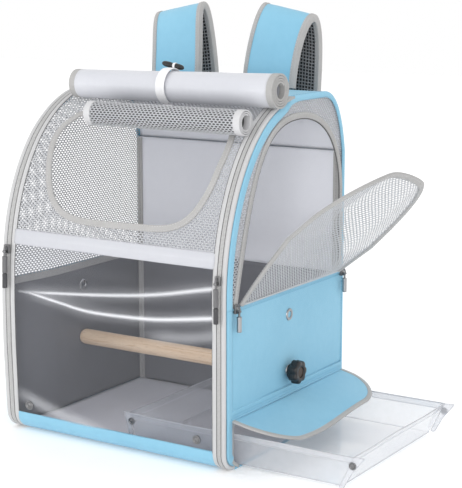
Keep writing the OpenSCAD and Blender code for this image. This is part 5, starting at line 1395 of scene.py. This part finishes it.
trayBody = piece("trayShell", join(base, *walls, *fins), "trayVinyl", "tray_shell", "tray")
hem = piece("trayHem", join(*hemParts), "trayVinyl", body="tray")
welt = piece("trayWelts", join(*weltLines), "trayWelt", body="tray")
for sheet in (trayBody, hem, welt):
    sheet.visible_shadow = False
caps = [snapPart((cx, cy, tray["z0"] + 28.2), (0, sy, 0), d=9.2, high=1.4)
        for cx in (tray["x1"] + tray["splay"] * 0.75 + 2.0, tray["x0"] + 3.6)
        for cy, sy in ((tray["y0"], -1), (tray["y1"], 1))]
piece("traySnaps", join(*caps), "darkMetal", "tray_snaps", "tray")
print("carrier: flap and tray made")


# Stage, lights and camera

lights = dict(      # place, target, size and power
    keyLight=((1.6, -1.9, 2.2), (0, 0, 0.2), (1.6, 1.6), 5),
    fillLight=((-1.9, -1.6, 1.1), (0, 0, 0.2), (1.4, 1.4), 3),
    backLight=((0.4, 2.0, 1.9), (0, 0, 0.3), (2.0, 1.0), 6),
    stripLight=((-1.25, -1.95, 0.42), (0, -0.14, 0.2), (1.3, 0.10), 5),
    frontLight=((1.2, -2.5, 0.75), (0, 0.1, 0.25), (0.9, 0.9), 13))
for name, (place, target, size, power) in lights.items():
    data = bpy.data.lights.new(name, "AREA")
    data.shape, data.energy = "RECTANGLE", power
    data.size, data.size_y = size
    lamp = bpy.data.objects.new(name, data)
    bpy.context.scene.collection.objects.link(lamp)
    lamp.location = place
    lamp.rotation_mode = "QUATERNION"
    lamp.rotation_quaternion = (Vector(target) - lamp.location).to_track_quat("-Z", "Y")
world = bpy.data.worlds.new("studio")
bpy.context.scene.world = world
world.use_nodes = True
world.node_tree.nodes["Background"].inputs[0].default_value = (1, 1, 1, 1)
world.node_tree.nodes["Background"].inputs[1].default_value = 1.0

floorMat, floorShader = newMaterial("studioFloor", 0.7)[::2]
floorShader.inputs["Base Color"].default_value = (0.93, 0.93, 0.93, 1)
floorShader.inputs["Emission Color"].default_value = (1, 1, 1, 1)
floorShader.inputs["Emission Strength"].default_value = 0.16
tile = np.linspace(-6000.0, 6000.0, 9)
floorPart = surface(xyz(tile[:, None], tile, -0.4), flip=True)
floorMesh = bpy.data.meshes.new("studioFloor")
floorMesh.from_pydata((floorPart["co"] * 0.001).tolist(), [], floorPart["faces"][0].tolist())
floorMesh.materials.append(floorMat)
floor = bpy.data.objects.new("studioFloor", floorMesh)
bpy.context.scene.collection.objects.link(floor)

view = dict(place=(1.0120, -1.4580, 0.5634), azimuth=32.62, down=10.62, lens=106.06)
camData = bpy.data.cameras.new("photoCamera")
camData.sensor_width, camData.lens = 36, view["lens"]
camData.clip_start, camData.clip_end = 0.05, 50
camera = bpy.data.objects.new("photoCamera", camData)
bpy.context.scene.collection.objects.link(camera)
camera.location = view["place"]
camera.rotation_euler = (math.radians(90 - view["down"]), 0, math.radians(view["azimuth"]))
bpy.context.scene.camera = camera
bpy.context.scene.view_settings.view_transform = "Standard"
print("carrier: stage, lights and camera set")
